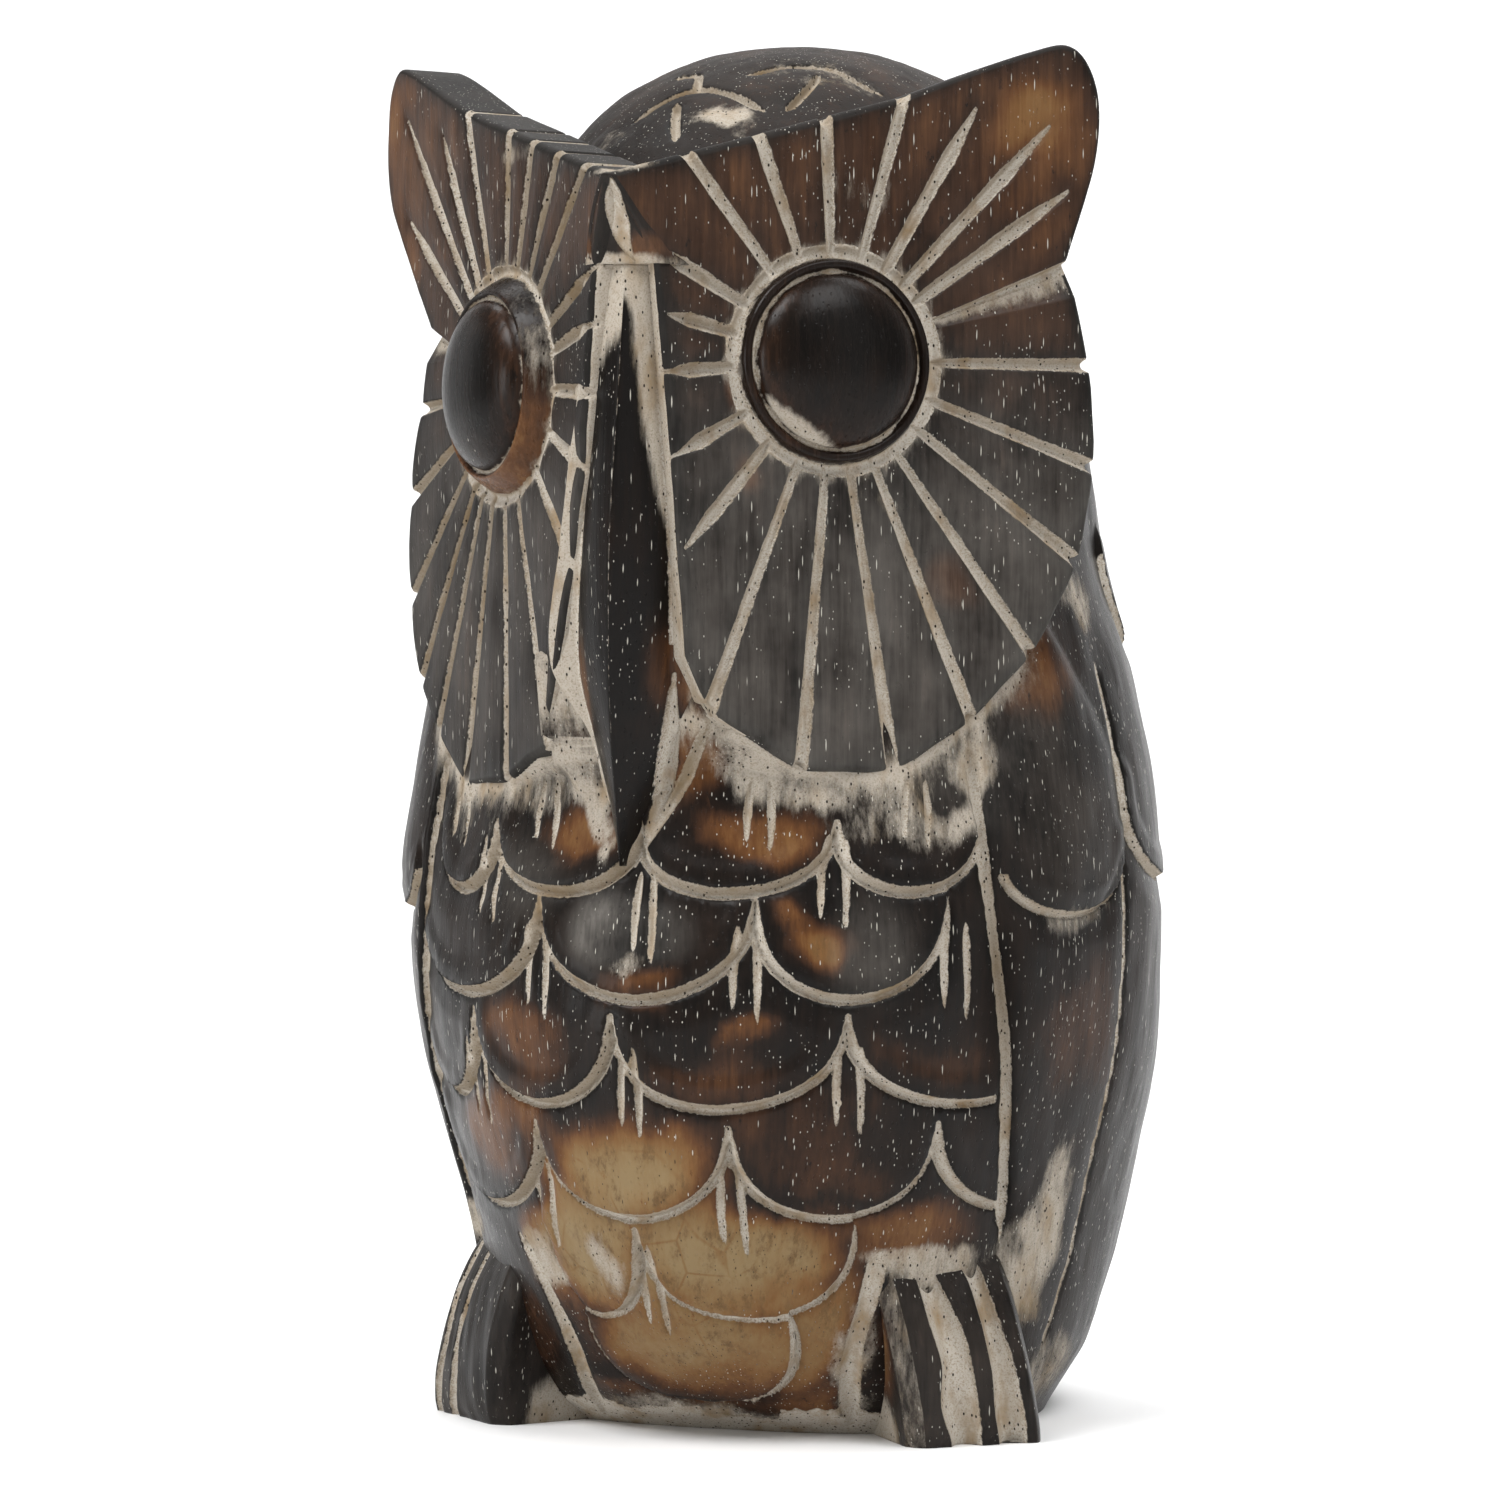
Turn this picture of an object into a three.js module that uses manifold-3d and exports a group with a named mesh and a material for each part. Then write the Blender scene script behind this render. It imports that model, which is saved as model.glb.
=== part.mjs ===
// A carved wooden owl, 305 mm tall, worked from one block of wood. Millimetres, Z up, face towards -Y.
// Left and right are the viewer's, with +X to the right.
// The face is two flat plates that meet in an upright ridge on the front corner of the block.
// Each plate carries an ear, an eye and a fan of cut rays. The rounded body behind and below
// them has scale feathers, folded wings and two feet, and stands on a flat base.

import * as THREE from 'three';
import { mergeVertices } from 'three/addons/utils/BufferGeometryUtils.js';
import Module from 'manifold-3d';

const wasm = await Module();
wasm.setup();

const radians = THREE.MathUtils.degToRad;

// Body, as level sections: half width, front, middle and back along Y, and how square the front is
const bodySections = [
  { z: 0, half: 56, front: -17, middle: 22, back: 78, square: 2.6 },
  { z: 6, half: 59, front: -26, middle: 24, back: 82, square: 2.4 },
  { z: 15, half: 64, front: -37, middle: 28, back: 86, square: 2.1 },
  { z: 30, half: 68.5, front: -50, middle: 33, back: 89, square: 1.9 },
  { z: 45, half: 72, front: -58.5, middle: 36, back: 90, square: 1.85 },
  { z: 60, half: 75.5, front: -64, middle: 34, back: 90, square: 1.85 },
  { z: 80, half: 80, front: -68, middle: 29.5, back: 89, square: 1.85 },
  { z: 100, half: 82, front: -69, middle: 25.5, back: 88, square: 1.85 },
  { z: 120, half: 82.3, front: -66.5, middle: 23.5, back: 87, square: 1.85 },
  { z: 140, half: 80.5, front: -62, middle: 25, back: 87, square: 1.85 },
  { z: 160, half: 76.5, front: -58, middle: 25, back: 86, square: 1.9 },
  { z: 190, half: 69, front: -54, middle: 25, back: 83, square: 2 },
  { z: 225, half: 65, front: -50, middle: 25, back: 79, square: 2 },
  { z: 255, half: 60, front: -46, middle: 26, back: 74, square: 2 },
  { z: 275, half: 53, front: -34, middle: 28, back: 66, square: 2 },
  { z: 288, half: 45, front: -20, middle: 30, back: 60, square: 2 },
  { z: 296, half: 36, front: -8, middle: 32, back: 56, square: 2 },
  { z: 302, half: 23, front: 8, middle: 33, back: 48, square: 2 },
  { z: 305, half: 10, front: 22, middle: 34, back: 42, square: 2 },
];
const backSquare = 2.2;
const crownTop = 305;
const ringHeights = [0, 5, 15, 30, 50, 75, 100, 125, 150, 180, 215, 245, 268, 283, 294, 301, crownTop];

// Wings: turn of the front edge at two heights, and how far the wing stands off the belly
const wingEdge = { low: { z: 42, turn: 59 }, high: { z: 146, turn: 49 } };
const wingRaise = 1.6;
const wingFade = { from: 200, to: 235 };
const frontSegments = 8;
const backSegments = 10;
const wingStep = 2;

// Face plates
const plateTurn = radians(42);
const plateThickness = 15;
const ridge = { front: -86, top: 263.7 };
const rightFace = {
  side: 1,
  earStart: { s: 66, z: 282.8 },
  earTop: { s: 95, z: 293.6 },
  earTip: { s: 106, z: 295.3 },
  earSide: { s: 111.6, z: 286 },
  earLow: { s: 111, z: 271 },
  notch: { s: 104.3, z: 250.4 },
  inner: [{ s: 23.4, z: 153.9 }, { s: 17.7, z: 166 }, { s: 14.4, z: 208 }, { s: 10.9, z: 246 }],
  eye: { s: 50.8, z: 227.3, flange: 21 },
  discRays: [
    [1, 59], [-19, 63.5], [-36, 69.5], [-53, 75.6], [-67, 80.7], [-81, 86.5], [-95, 85], [-111, 77.6],
  ],
  topRays: [[128, 53], [110, 49.5], [92, 51], [74, 58.5]],
  freeRays: [[59, 63], [46, 71], [35, 65.5], [-130, 51], [-150, 40], [-175, 36.5], [167, 37.5], [151, 45]],
  notchRay: [23, 58],
};
const leftFace = {
  side: -1,
  earStart: { s: 71, z: 285.5 },
  earTop: { s: 97, z: 296.6 },
  earTip: { s: 106, z: 297.6 },
  earSide: { s: 110.3, z: 288 },
  earLow: { s: 108, z: 268 },
  notch: { s: 87, z: 239 },
  inner: [{ s: 29.5, z: 151.5 }, { s: 20.5, z: 171 }, { s: 11.4, z: 204 }, { s: 5.8, z: 246 }],
  eye: { s: 50, z: 224.2, flange: 22.5 },
  discRays: [
    [-3, 44], [-24, 53.5], [-42, 66], [-55, 77], [-65, 81.5], [-77, 87.5], [-91, 84], [-106, 79.5],
  ],
  topRays: [[133, 57], [120, 53.5], [106, 55.5], [93, 57.5], [73, 64]],
  freeRays: [[61, 65], [51, 80], [39, 63], [-130, 54], [-153, 43], [-174, 43], [167, 43.5], [154, 47.5]],
  notchRay: [22, 40],
};
const scallop = 0.985;
const rayWidth = 2.8;
const rayDepth = 1.5;
const rayStart = 3;
const notchSize = 2.2;

// Eyes: a raised flange, a fine ring groove and a polished dome
const eye = { domeRadius: 18, domeHeight: 7, flangeHeight: 1.6, segments: 20 };
const eyeRing = { width: 3, depth: 1.6 };

// Beak: ridge line, half width and floor beside it, from the tip up to the brow
const beakSections = [
  { z: 123, x: -4.5, ridge: -66.5, half: 1, floor: -62, flare: 0.5 },
  { z: 136, x: -3.6, ridge: -71, half: 5, floor: -62, flare: 0.5 },
  { z: 150, x: -2.8, ridge: -75.5, half: 8.6, floor: -66, flare: 1 },
  { z: 165, x: -2, ridge: -79, half: 9.6, floor: -69, flare: 5 },
  { z: 191, x: -0.6, ridge: -82, half: 8.4, floor: -72, flare: 5 },
  { z: 225, x: 1.2, ridge: -81, half: 6.2, floor: -74, flare: 4 },
  { z: 246, x: 1.5, ridge: -79, half: 5, floor: -75.5, flare: 4 },
];
const throat = { half: 30, front: -42, back: -20 };
const brow = { bottom: 246, half: 9, front: -79, gougeWidth: 5 };

// Scale feathers: rows of hanging arcs that start and end at the turns listed, in degrees
const scaleRows = [
  { cusp: 132, bottom: 117.5, turns: [-47, -30, -1, 29.5, 51] },
  { cusp: 116, bottom: 95.5, turns: [-54, -19, 18.5, 46] },
  { cusp: 92, bottom: 73, turns: [-56, -35, -5, 32, 56] },
  { cusp: 69, bottom: 49.5, turns: [-56, -22, 15, 46, 59] },
  { cusp: 47, bottom: 27.5, turns: [-24, -4, 34] },
  { cusp: 27, bottom: 7.5, turns: [-19, 22] },
];
const backRows = [
  { cusp: 190, bottom: 169, turns: [97, 138, 180, 222, 263] },
  { cusp: 140, bottom: 119, turns: [80, 120, 160, 200, 240, 280] },
];
const scaleWidth = 2.6;
const scaleDepth = 1.4;
const scaleSteps = 5;

// Paired quill cuts under the joints of the scales
const tickRows = [
  { top: 141, turns: [-41, -19, 18.5, 41], length: 13 },
  { top: 129, turns: [-31, 29.5], length: 17 },
  { top: 122, turns: [1], length: 17 },
  { top: 111, turns: [-19.5, 17.5, 47.5], length: 18 },
  { top: 86, turns: [-36, -2, 32.5], length: 17 },
  { top: 60, turns: [-23, 15], length: 16 },
  { top: 44, turns: [-3], length: 18 },
];
const tick = { gap: 1.75, width: 1.9, depth: 1.1 };

// Long feather cuts down each wing, as turn and height from the top to the foot
const wingCuts = [
  [[wingEdge.high.turn, 150], [52, 118], [56, 80], [wingEdge.low.turn, wingEdge.low.z]],
  [[80, 172], [80, 105], [76, 55], [74, 14]],
  [[110, 121], [108, 60], [102, 10]],
  [[140, 125], [138, 60], [132, 10]],
];
const shoulderArc = { cusp: 126, bottom: 112, turns: [53, 80] };
const bellyCuts = [
  [[-33, 42], [-28, 34], [-24, 20], [-22, 3]],
  [[39, 40], [36, 30], [32, 16], [27, 3]],
];
const crownArcs = [
  [[-24, 284], [-16, 289], [-6, 290.3], [5, 288], [14, 284]],
  [[6, 293.5], [18, 296], [33, 295], [46, 289]],
];
const crownCuts = [
  [[24, 292], [21, 283]],
  [[-12, 287], [-7, 278]],
];

// Feet: inner and outer corner of the toes at the top and on the ground
const foot = {
  inner: { top: [39, -34], ground: [47.5, -31] },
  outer: { top: [60, -8.5], ground: [71.5, -12] },
  heading: radians(38),
  heights: [0, 3, 10, 20, 31, 43],
  bulge: [-0.8, 0.8, 2.6, 3.4, 2.4, -1.5],
  gouge: [2.4, 2.8, 3, 2.8, 2.2, 1],
  toes: 3,
  toeSteps: 4,
  root: [[52, 12], [24, -2]],
};

// Value of one size in a list of sections, on a smooth curve through them
function sizeAt(sections, z, name) {
  const last = sections.length - 1;
  const height = THREE.MathUtils.clamp(z, sections[0].z, sections[last].z);
  let k = 0;
  while (k < last - 1 && height > sections[k + 1].z) k += 1;
  const slope = (i) => {
    const before = sections[Math.max(i - 1, 0)];
    const after = sections[Math.min(i + 1, last)];
    return (after[name] - before[name]) / (after.z - before.z);
  };
  const span = sections[k + 1].z - sections[k].z;
  const u = (height - sections[k].z) / span;
  const blend = u * u * (3 - 2 * u);
  const ends = sections[k][name] * (1 - blend) + sections[k + 1][name] * blend;
  return ends + span * u * (1 - u) * ((1 - u) * slope(k) - u * slope(k + 1));
}

// Turn of the wing's front edge at a height
function wingTurn(z) {
  return THREE.MathUtils.clamp(
    THREE.MathUtils.mapLinear(z, wingEdge.low.z, wingEdge.high.z, wingEdge.low.turn, wingEdge.high.turn),
    wingEdge.high.turn, wingEdge.low.turn);
}

// Point on the body at a turn from the front, in degrees, and a height
function bodyPoint(turn, z) {
  const angle = radians(turn);
  const facing = Math.cos(angle);
  const across = Math.sin(angle);
  const size = (name) => sizeAt(bodySections, z, name);
  const power = 2 / (facing >= 0 ? size('square') : backSquare);
  const reach = facing >= 0 ? size('front') - size('middle') : size('back') - size('middle');
  const x = size('half') * Math.sign(across) * Math.abs(across) ** power;
  const y = size('middle') + reach * Math.abs(facing) ** power;
  const behind = Math.abs(turn) > wingTurn(z) + wingStep / 2 ? 1 : 0;
  const raise = behind * wingRaise * (1 - THREE.MathUtils.smoothstep(z, wingFade.from, wingFade.to));
  return new THREE.Vector3(x + raise * across, y - raise * facing, z);
}

// Outward direction of the body's surface at the same place
function bodyNormal(turn, z) {
  const low = Math.max(z - 1, 0);
  const high = Math.min(z + 1, crownTop);
  const round = bodyPoint(turn + 0.5, z).sub(bodyPoint(turn - 0.5, z));
  const rise = bodyPoint(turn, high).sub(bodyPoint(turn, low));
  return round.cross(rise).normalize();
}

// Closed form through rings that run anticlockwise seen from its far end
function loft(rings) {
  const sides = rings[0].length;
  const top = sides * (rings.length - 1);
  const faces = [];
  for (let k = 0; k + 1 < rings.length; k += 1) {
    for (let i = 0; i < sides; i += 1) {
      const a = k * sides + i;
      const b = k * sides + (i + 1) % sides;
      faces.push(a, b, b + sides, a, b + sides, a + sides);
    }
  }
  for (let i = 1; i + 1 < sides; i += 1) {
    faces.push(0, i + 1, i);
    faces.push(top, top + i, top + i + 1);
  }
  const geometry = new THREE.BufferGeometry().setFromPoints(rings.flat());
  geometry.setIndex(faces);
  return geometry;
}

function toSolid(geometry) {
  const bare = geometry.clone();
  bare.deleteAttribute('normal');
  bare.deleteAttribute('uv');
  const merged = mergeVertices(bare, 1e-3);
  return new wasm.Manifold(new wasm.Mesh({
    numProp: 3,
    vertProperties: new Float32Array(merged.getAttribute('position').array),
    triVerts: new Uint32Array(merged.getIndex().array),
  }));
}

function toGeometry(solid) {
  const mesh = solid.getMesh();
  const geometry = new THREE.BufferGeometry();
  geometry.setAttribute('position', new THREE.BufferAttribute(mesh.vertProperties, 3));
  geometry.setIndex(new THREE.BufferAttribute(mesh.triVerts, 1));
  const flat = geometry.toNonIndexed();
  flat.computeVertexNormals();
  return flat;
}

// V-shaped cut along a path on a surface, thinner where a stop on the path has a smaller size
function groove(path, width, depth) {
  const lift = 1.2;
  const rings = path.map(({ at, out, size }, k) => {
    const before = path[Math.max(k - 1, 0)].at;
    const after = path[Math.min(k + 1, path.length - 1)].at;
    const along = after.clone().sub(before).normalize();
    const side = out.clone().cross(along).normalize();
    const half = 0.5 * width * size * (1 + lift / depth);
    const corner = (across, up) => at.clone().addScaledVector(side, across).addScaledVector(out, up);
    return [corner(-half, lift * size), corner(0, -depth * size), corner(half, lift * size)];
  });
  return toSolid(loft(rings));
}

// Stops of a cut on the body, from pairs of turn and height, pointed at both ends
function bodyPath(stops, tips = 0.3) {
  return stops.map(([turn, z], k) => ({
    at: bodyPoint(turn, z),
    out: bodyNormal(turn, z),
    size: k === 0 || k === stops.length - 1 ? tips : 1,
  }));
}

// Hanging arc from one turn to the next, as on a scale feather
function scalePath(from, to, cusp, bottom) {
  const stops = [];
  for (let k = 0; k <= scaleSteps; k += 1) {
    const angle = Math.PI * k / scaleSteps;
    const turn = from + (to - from) * (1 - Math.cos(angle)) / 2;
    stops.push([turn, cusp - (cusp - bottom) * Math.sin(angle) ** 0.85]);
  }
  return bodyPath(stops, 0.6);
}

// One hanging arc between each two joints of a row
function scaleCuts({ cusp, bottom, turns }) {
  return turns.slice(1).map((to, k) => groove(scalePath(turns[k], to, cusp, bottom), scaleWidth, scaleDepth));
}

function tickCuts({ top, turns, length }) {
  return turns.flatMap((turn) => [-tick.gap, tick.gap].map((shift) => {
    const stops = [[turn + shift * 0.7, top], [turn + shift, top - length * 0.6], [turn + shift, top - length]];
    return groove(bodyPath(stops, 0.2), tick.width, tick.depth);
  }));
}

function mirrored(stops) {
  return stops.map(([turn, z]) => [-turn, z]);
}

function bodyCuts() {
  const wings = wingCuts.flatMap((stops) => [stops, mirrored(stops)]);
  const lines = [...wings, ...bellyCuts, ...crownArcs, ...crownCuts];
  const arc = shoulderArc;
  const shoulders = [arc.turns, [-arc.turns[1], -arc.turns[0]]];
  return [
    ...scaleRows.flatMap(scaleCuts),
    ...backRows.flatMap(scaleCuts),
    ...tickRows.flatMap(tickCuts),
    ...shoulders.flatMap((turns) => scaleCuts({ ...arc, turns })),
    ...lines.map((stops) => groove(bodyPath(stops), scaleWidth, scaleDepth)),
  ];
}

// Turns round one ring of the body, with a narrow step at each wing's front edge
function ringTurns(z) {
  const edge = wingTurn(z);
  const half = [];
  for (let k = 0; k <= frontSegments; k += 1) half.push(edge * k / frontSegments);
  for (let k = 0; k <= backSegments; k += 1) {
    half.push(edge + wingStep + (180 - edge - wingStep) * k / backSegments);
  }
  const other = half.slice(1, -1).reverse().map((turn) => -turn);
  return [...half, ...other];
}

function bodySolid() {
  return toSolid(loft(ringHeights.map((z) => ringTurns(z).map((turn) => bodyPoint(turn, z)))));
}

// Set a form drawn on a face plate, with X along the plate and Z out of it, in its place
function ontoFace(geometry, side) {
  geometry.rotateX(Math.PI / 2);
  geometry.rotateZ(side * plateTurn);
  geometry.translate(0, ridge.front, 0);
  return geometry;
}

function rayEnd(face, [angle, reach]) {
  const turn = radians(angle);
  return { s: face.eye.s + reach * Math.cos(turn), z: face.eye.z + reach * Math.sin(turn) };
}

// Outline of one plate: ear, disc with a shallow hollow between the rays, and the edge beside the beak
function plateShape(face) {
  const shape = new THREE.Shape();
  const spot = ({ s, z }) => new THREE.Vector2(face.side * s, z);
  const line = (place) => shape.lineTo(spot(place).x, spot(place).y);
  shape.moveTo(0, ridge.top);
  line(face.earStart);
  shape.splineThru([face.earTop, face.earTip, face.earSide, face.earLow, face.notch].map(spot));
  face.discRays.forEach((ray, k) => {
    if (k > 0) {
      const [angle, reach] = face.discRays[k - 1];
      line(rayEnd(face, [(angle + ray[0]) / 2, scallop * (reach + ray[1]) / 2 + 1]));
    }
    line(rayEnd(face, ray));
  });
  face.inner.forEach(line);
  shape.closePath();
  return shape;
}

function facePlate(face) {
  const plate = new THREE.ExtrudeGeometry(plateShape(face), {
    depth: plateThickness,
    bevelEnabled: false,
    curveSegments: 3,
  });
  plate.translate(0, 0, -plateThickness);
  return toSolid(ontoFace(plate, face.side));
}

// Eye with its flange, on the axis of a turned form
function eyeForm(face) {
  const { domeRadius, domeHeight, flangeHeight } = eye;
  const profile = [
    new THREE.Vector2(0, -4),
    new THREE.Vector2(face.eye.flange, -4),
    new THREE.Vector2(face.eye.flange, 0.2),
    new THREE.Vector2(face.eye.flange - 1.2, flangeHeight),
    new THREE.Vector2(domeRadius + 0.8, flangeHeight),
    new THREE.Vector2(domeRadius, flangeHeight - 1),
  ];
  const steps = 3;
  for (let k = 1; k <= steps; k += 1) {
    const angle = 0.5 * Math.PI * k / steps;
    profile.push(new THREE.Vector2(domeRadius * Math.cos(angle), flangeHeight - 1 + domeHeight * Math.sin(angle)));
  }
  profile[profile.length - 1].x = 0;
  const form = new THREE.LatheGeometry(profile, eye.segments);
  form.rotateX(Math.PI / 2);
  form.translate(face.side * face.eye.s, face.eye.z, 0);
  return toSolid(ontoFace(form, face.side));
}

// Ring cut round the flange, where every ray starts
function eyeRingCut(face) {
  const inner = face.eye.flange;
  const profile = [
    new THREE.Vector2(inner, 1),
    new THREE.Vector2(inner, -eyeRing.depth),
    new THREE.Vector2(inner + 0.8, -eyeRing.depth),
    new THREE.Vector2(inner + eyeRing.width + 0.6, 1),
    new THREE.Vector2(inner, 1),
  ];
  const form = new THREE.LatheGeometry(profile, eye.segments);
  form.rotateX(Math.PI / 2);
  form.translate(face.side * face.eye.s, face.eye.z, 0);
  return toSolid(ontoFace(form, face.side));
}

// Point on a face plate, in the frame of the whole piece
function facePoint(face, { s, z }) {
  return new THREE.Vector3(
    face.side * s * Math.cos(plateTurn), ridge.front + s * Math.sin(plateTurn), z);
}

function rayCuts(face) {
  const out = new THREE.Vector3(face.side * Math.sin(plateTurn), -Math.cos(plateTurn), 0);
  const cut = ([angle], stops) => groove(stops.map(([distance, size]) => (
    { at: facePoint(face, rayEnd(face, [angle, distance])), out, size })), rayWidth, rayDepth);
  const start = [face.eye.flange + rayStart / 2, 1];
  const through = [...face.discRays, ...face.topRays];
  return [
    ...through.map(([angle, reach]) => cut([angle, reach], [start, [reach + 1, 1]])),
    ...face.freeRays.map(([angle, reach]) => cut([angle, reach], [start, [0.75 * reach, 1], [reach, 0.15]])),
    cut(face.notchRay, [[start[0], 0.4], [face.notchRay[1] + 1, notchSize]]),
  ];
}

// Wood behind the beak and the brow, which ties the plates to the body
function throatPoints(z) {
  return [
    new THREE.Vector3(throat.half, throat.front, z),
    new THREE.Vector3(throat.half, throat.back, z),
    new THREE.Vector3(-throat.half, throat.back, z),
    new THREE.Vector3(-throat.half, throat.front, z),
  ];
}

// Beak with the floor of the notch on both sides of it
function beakForm() {
  return toSolid(loft(beakSections.map(({ z, x, ridge: front, half, floor, flare }) => [
    new THREE.Vector3(x - half - flare, floor, z),
    new THREE.Vector3(x - half, floor, z),
    new THREE.Vector3(x, front, z),
    new THREE.Vector3(x + half, floor, z),
    new THREE.Vector3(x + half + flare, floor, z),
    ...throatPoints(z),
  ])));
}

// Three-cornered facet between the plates, above the beak
function browForm() {
  const ring = (half, front, z) => [
    new THREE.Vector3(-half, front, z),
    new THREE.Vector3(half, front, z),
    ...throatPoints(z),
  ];
  return toSolid(loft([ring(brow.half, brow.front, brow.bottom), ring(0.4, ridge.front, ridge.top)]));
}

function browCut() {
  const out = new THREE.Vector3(0, -1, -0.4).normalize();
  const stops = [[261, 0.2], [254, 1], [247, 0.8], [243, 0.3]];
  const path = stops.map(([z, size]) => {
    const u = (z - brow.bottom) / (ridge.top - brow.bottom);
    return { at: new THREE.Vector3(1, brow.front + (ridge.front - brow.front) * u, z), out, size };
  });
  return groove(path, brow.gougeWidth, rayDepth);
}

// Foot with rounded toes and hollow gouges between them
function footForm(side) {
  const mix = (from, to, u) => from + (to - from) * u;
  const high = foot.heights[foot.heights.length - 1];
  const rings = foot.heights.map((z, k) => {
    const corner = ({ top, ground }) => [0, 1].map((axis) => mix(ground[axis], top[axis], z / high));
    const from = corner(foot.inner);
    const to = corner(foot.outer);
    const steps = foot.toes * foot.toeSteps;
    const ring = [];
    for (let i = 0; i <= steps; i += 1) {
      const crest = Math.abs(Math.sin(Math.PI * i / foot.toeSteps)) ** 0.6;
      const out = foot.bulge[k] - foot.gouge[k] * (1 - crest);
      ring.push(new THREE.Vector3(
        side * (mix(from[0], to[0], i / steps) + out * Math.sin(foot.heading)),
        mix(from[1], to[1], i / steps) - out * Math.cos(foot.heading),
        z));
    }
    foot.root.forEach(([x, y]) => ring.push(new THREE.Vector3(side * x, y, z)));
    return side > 0 ? ring : ring.reverse();
  });
  return toSolid(loft(rings));
}

// The whole owl as one solid
function owlSolid() {
  const faces = [leftFace, rightFace];
  let owl = bodySolid();
  bodyCuts().forEach((cut) => { owl = owl.subtract(cut); });
  faces.forEach((face) => {
    let plate = facePlate(face);
    rayCuts(face).forEach((cut) => { plate = plate.subtract(cut); });
    plate = plate.subtract(eyeRingCut(face)).add(eyeForm(face));
    owl = owl.add(plate).add(footForm(face.side));
  });
  return owl.add(browForm()).add(beakForm()).subtract(browCut());
}

// Origin under the middle of the whole piece, on the ground
function centred(geometry) {
  geometry.computeBoundingBox();
  const middle = geometry.boundingBox.getCenter(new THREE.Vector3());
  geometry.translate(-middle.x, -middle.y, -geometry.boundingBox.min.z);
  return geometry;
}

const darkWood = new THREE.MeshStandardMaterial({ color: 0x2e221a, roughness: 0.42, metalness: 0 });

const owlMesh = new THREE.Mesh(centred(toGeometry(owlSolid())), darkWood);
owlMesh.name = 'owl';

const model = new THREE.Group();
model.add(owlMesh);

export default model;
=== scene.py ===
import math

import bpy
import numpy as np
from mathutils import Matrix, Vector


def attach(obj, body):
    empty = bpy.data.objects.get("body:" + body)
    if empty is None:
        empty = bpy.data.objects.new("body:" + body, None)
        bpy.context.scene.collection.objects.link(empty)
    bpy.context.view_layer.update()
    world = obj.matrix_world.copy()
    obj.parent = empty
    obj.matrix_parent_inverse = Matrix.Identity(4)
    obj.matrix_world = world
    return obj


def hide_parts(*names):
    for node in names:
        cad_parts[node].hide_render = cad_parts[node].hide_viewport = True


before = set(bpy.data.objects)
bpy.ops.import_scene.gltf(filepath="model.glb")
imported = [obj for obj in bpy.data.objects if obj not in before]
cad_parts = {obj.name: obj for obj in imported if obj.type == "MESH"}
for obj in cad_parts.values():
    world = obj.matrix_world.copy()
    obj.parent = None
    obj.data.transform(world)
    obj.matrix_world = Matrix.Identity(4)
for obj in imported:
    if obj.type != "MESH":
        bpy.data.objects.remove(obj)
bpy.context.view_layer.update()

# All sizes below are in millimetres, in the frame of the block: x to the viewer's right,
# y away from the viewer, z up, with the front corner of the block at x = 0.
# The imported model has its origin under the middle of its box, this far behind the block's.
ORIGIN_Y = 2.853
MM = 0.001
TRIANGLE_LIMIT = 192000

# Float layers that the material reads: how far a point lies inside a cut, how warm the wood is, how
# much paint is rubbed in, how near a cut is, how much grey dust and painted sheen lie on the wood, and
# how much painted shade and brown stain darken the paint, which also makes the wood rougher.
LAYERS = ("cut", "warm", "wash", "near", "haze", "shade")
NO_CUT = -4.0

# Sizes
BODY_Z = np.array([0, 6, 15, 30, 45, 60, 80, 100, 120, 140, 160, 190, 225, 255, 275, 288,
                   296, 302, 305.0])
BODY = {
    "half": [56, 59, 64, 68.5, 72, 75.5, 80, 82, 82.3, 80.5, 76.5, 69, 65, 60, 53, 45, 36, 23, 10],
    "front": [-17, -26, -37, -50, -58.5, -64, -68, -69, -66.5, -62, -58, -54, -50, -46, -34, -20,
              -8, 8, 22],
    "middle": [22, 24, 28, 33, 36, 34, 29.5, 25.5, 23.5, 25, 25, 25, 25, 26, 28, 30, 32, 33, 34],
    "back": [78, 82, 86, 89, 90, 90, 89, 88, 87, 87, 86, 83, 79, 74, 66, 60, 56, 48, 42],
    "square": [2.6, 2.4, 2.1, 1.9] + 6 * [1.85] + [1.9] + 8 * [2],
}
BACK_SQUARE = 2.2
TOP = 305.0
WING_HEIGHTS = (42, 146)
WING_TURNS = (59, 49)
WING_RAISE = 1.8
SCALE_STEP = 1.5
PAINTED_STRIP = 5.6

TURN = math.radians(42)
THICK = 15.0
RIDGE_FRONT = -86.0
RIDGE_TOP = 263.7

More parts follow.
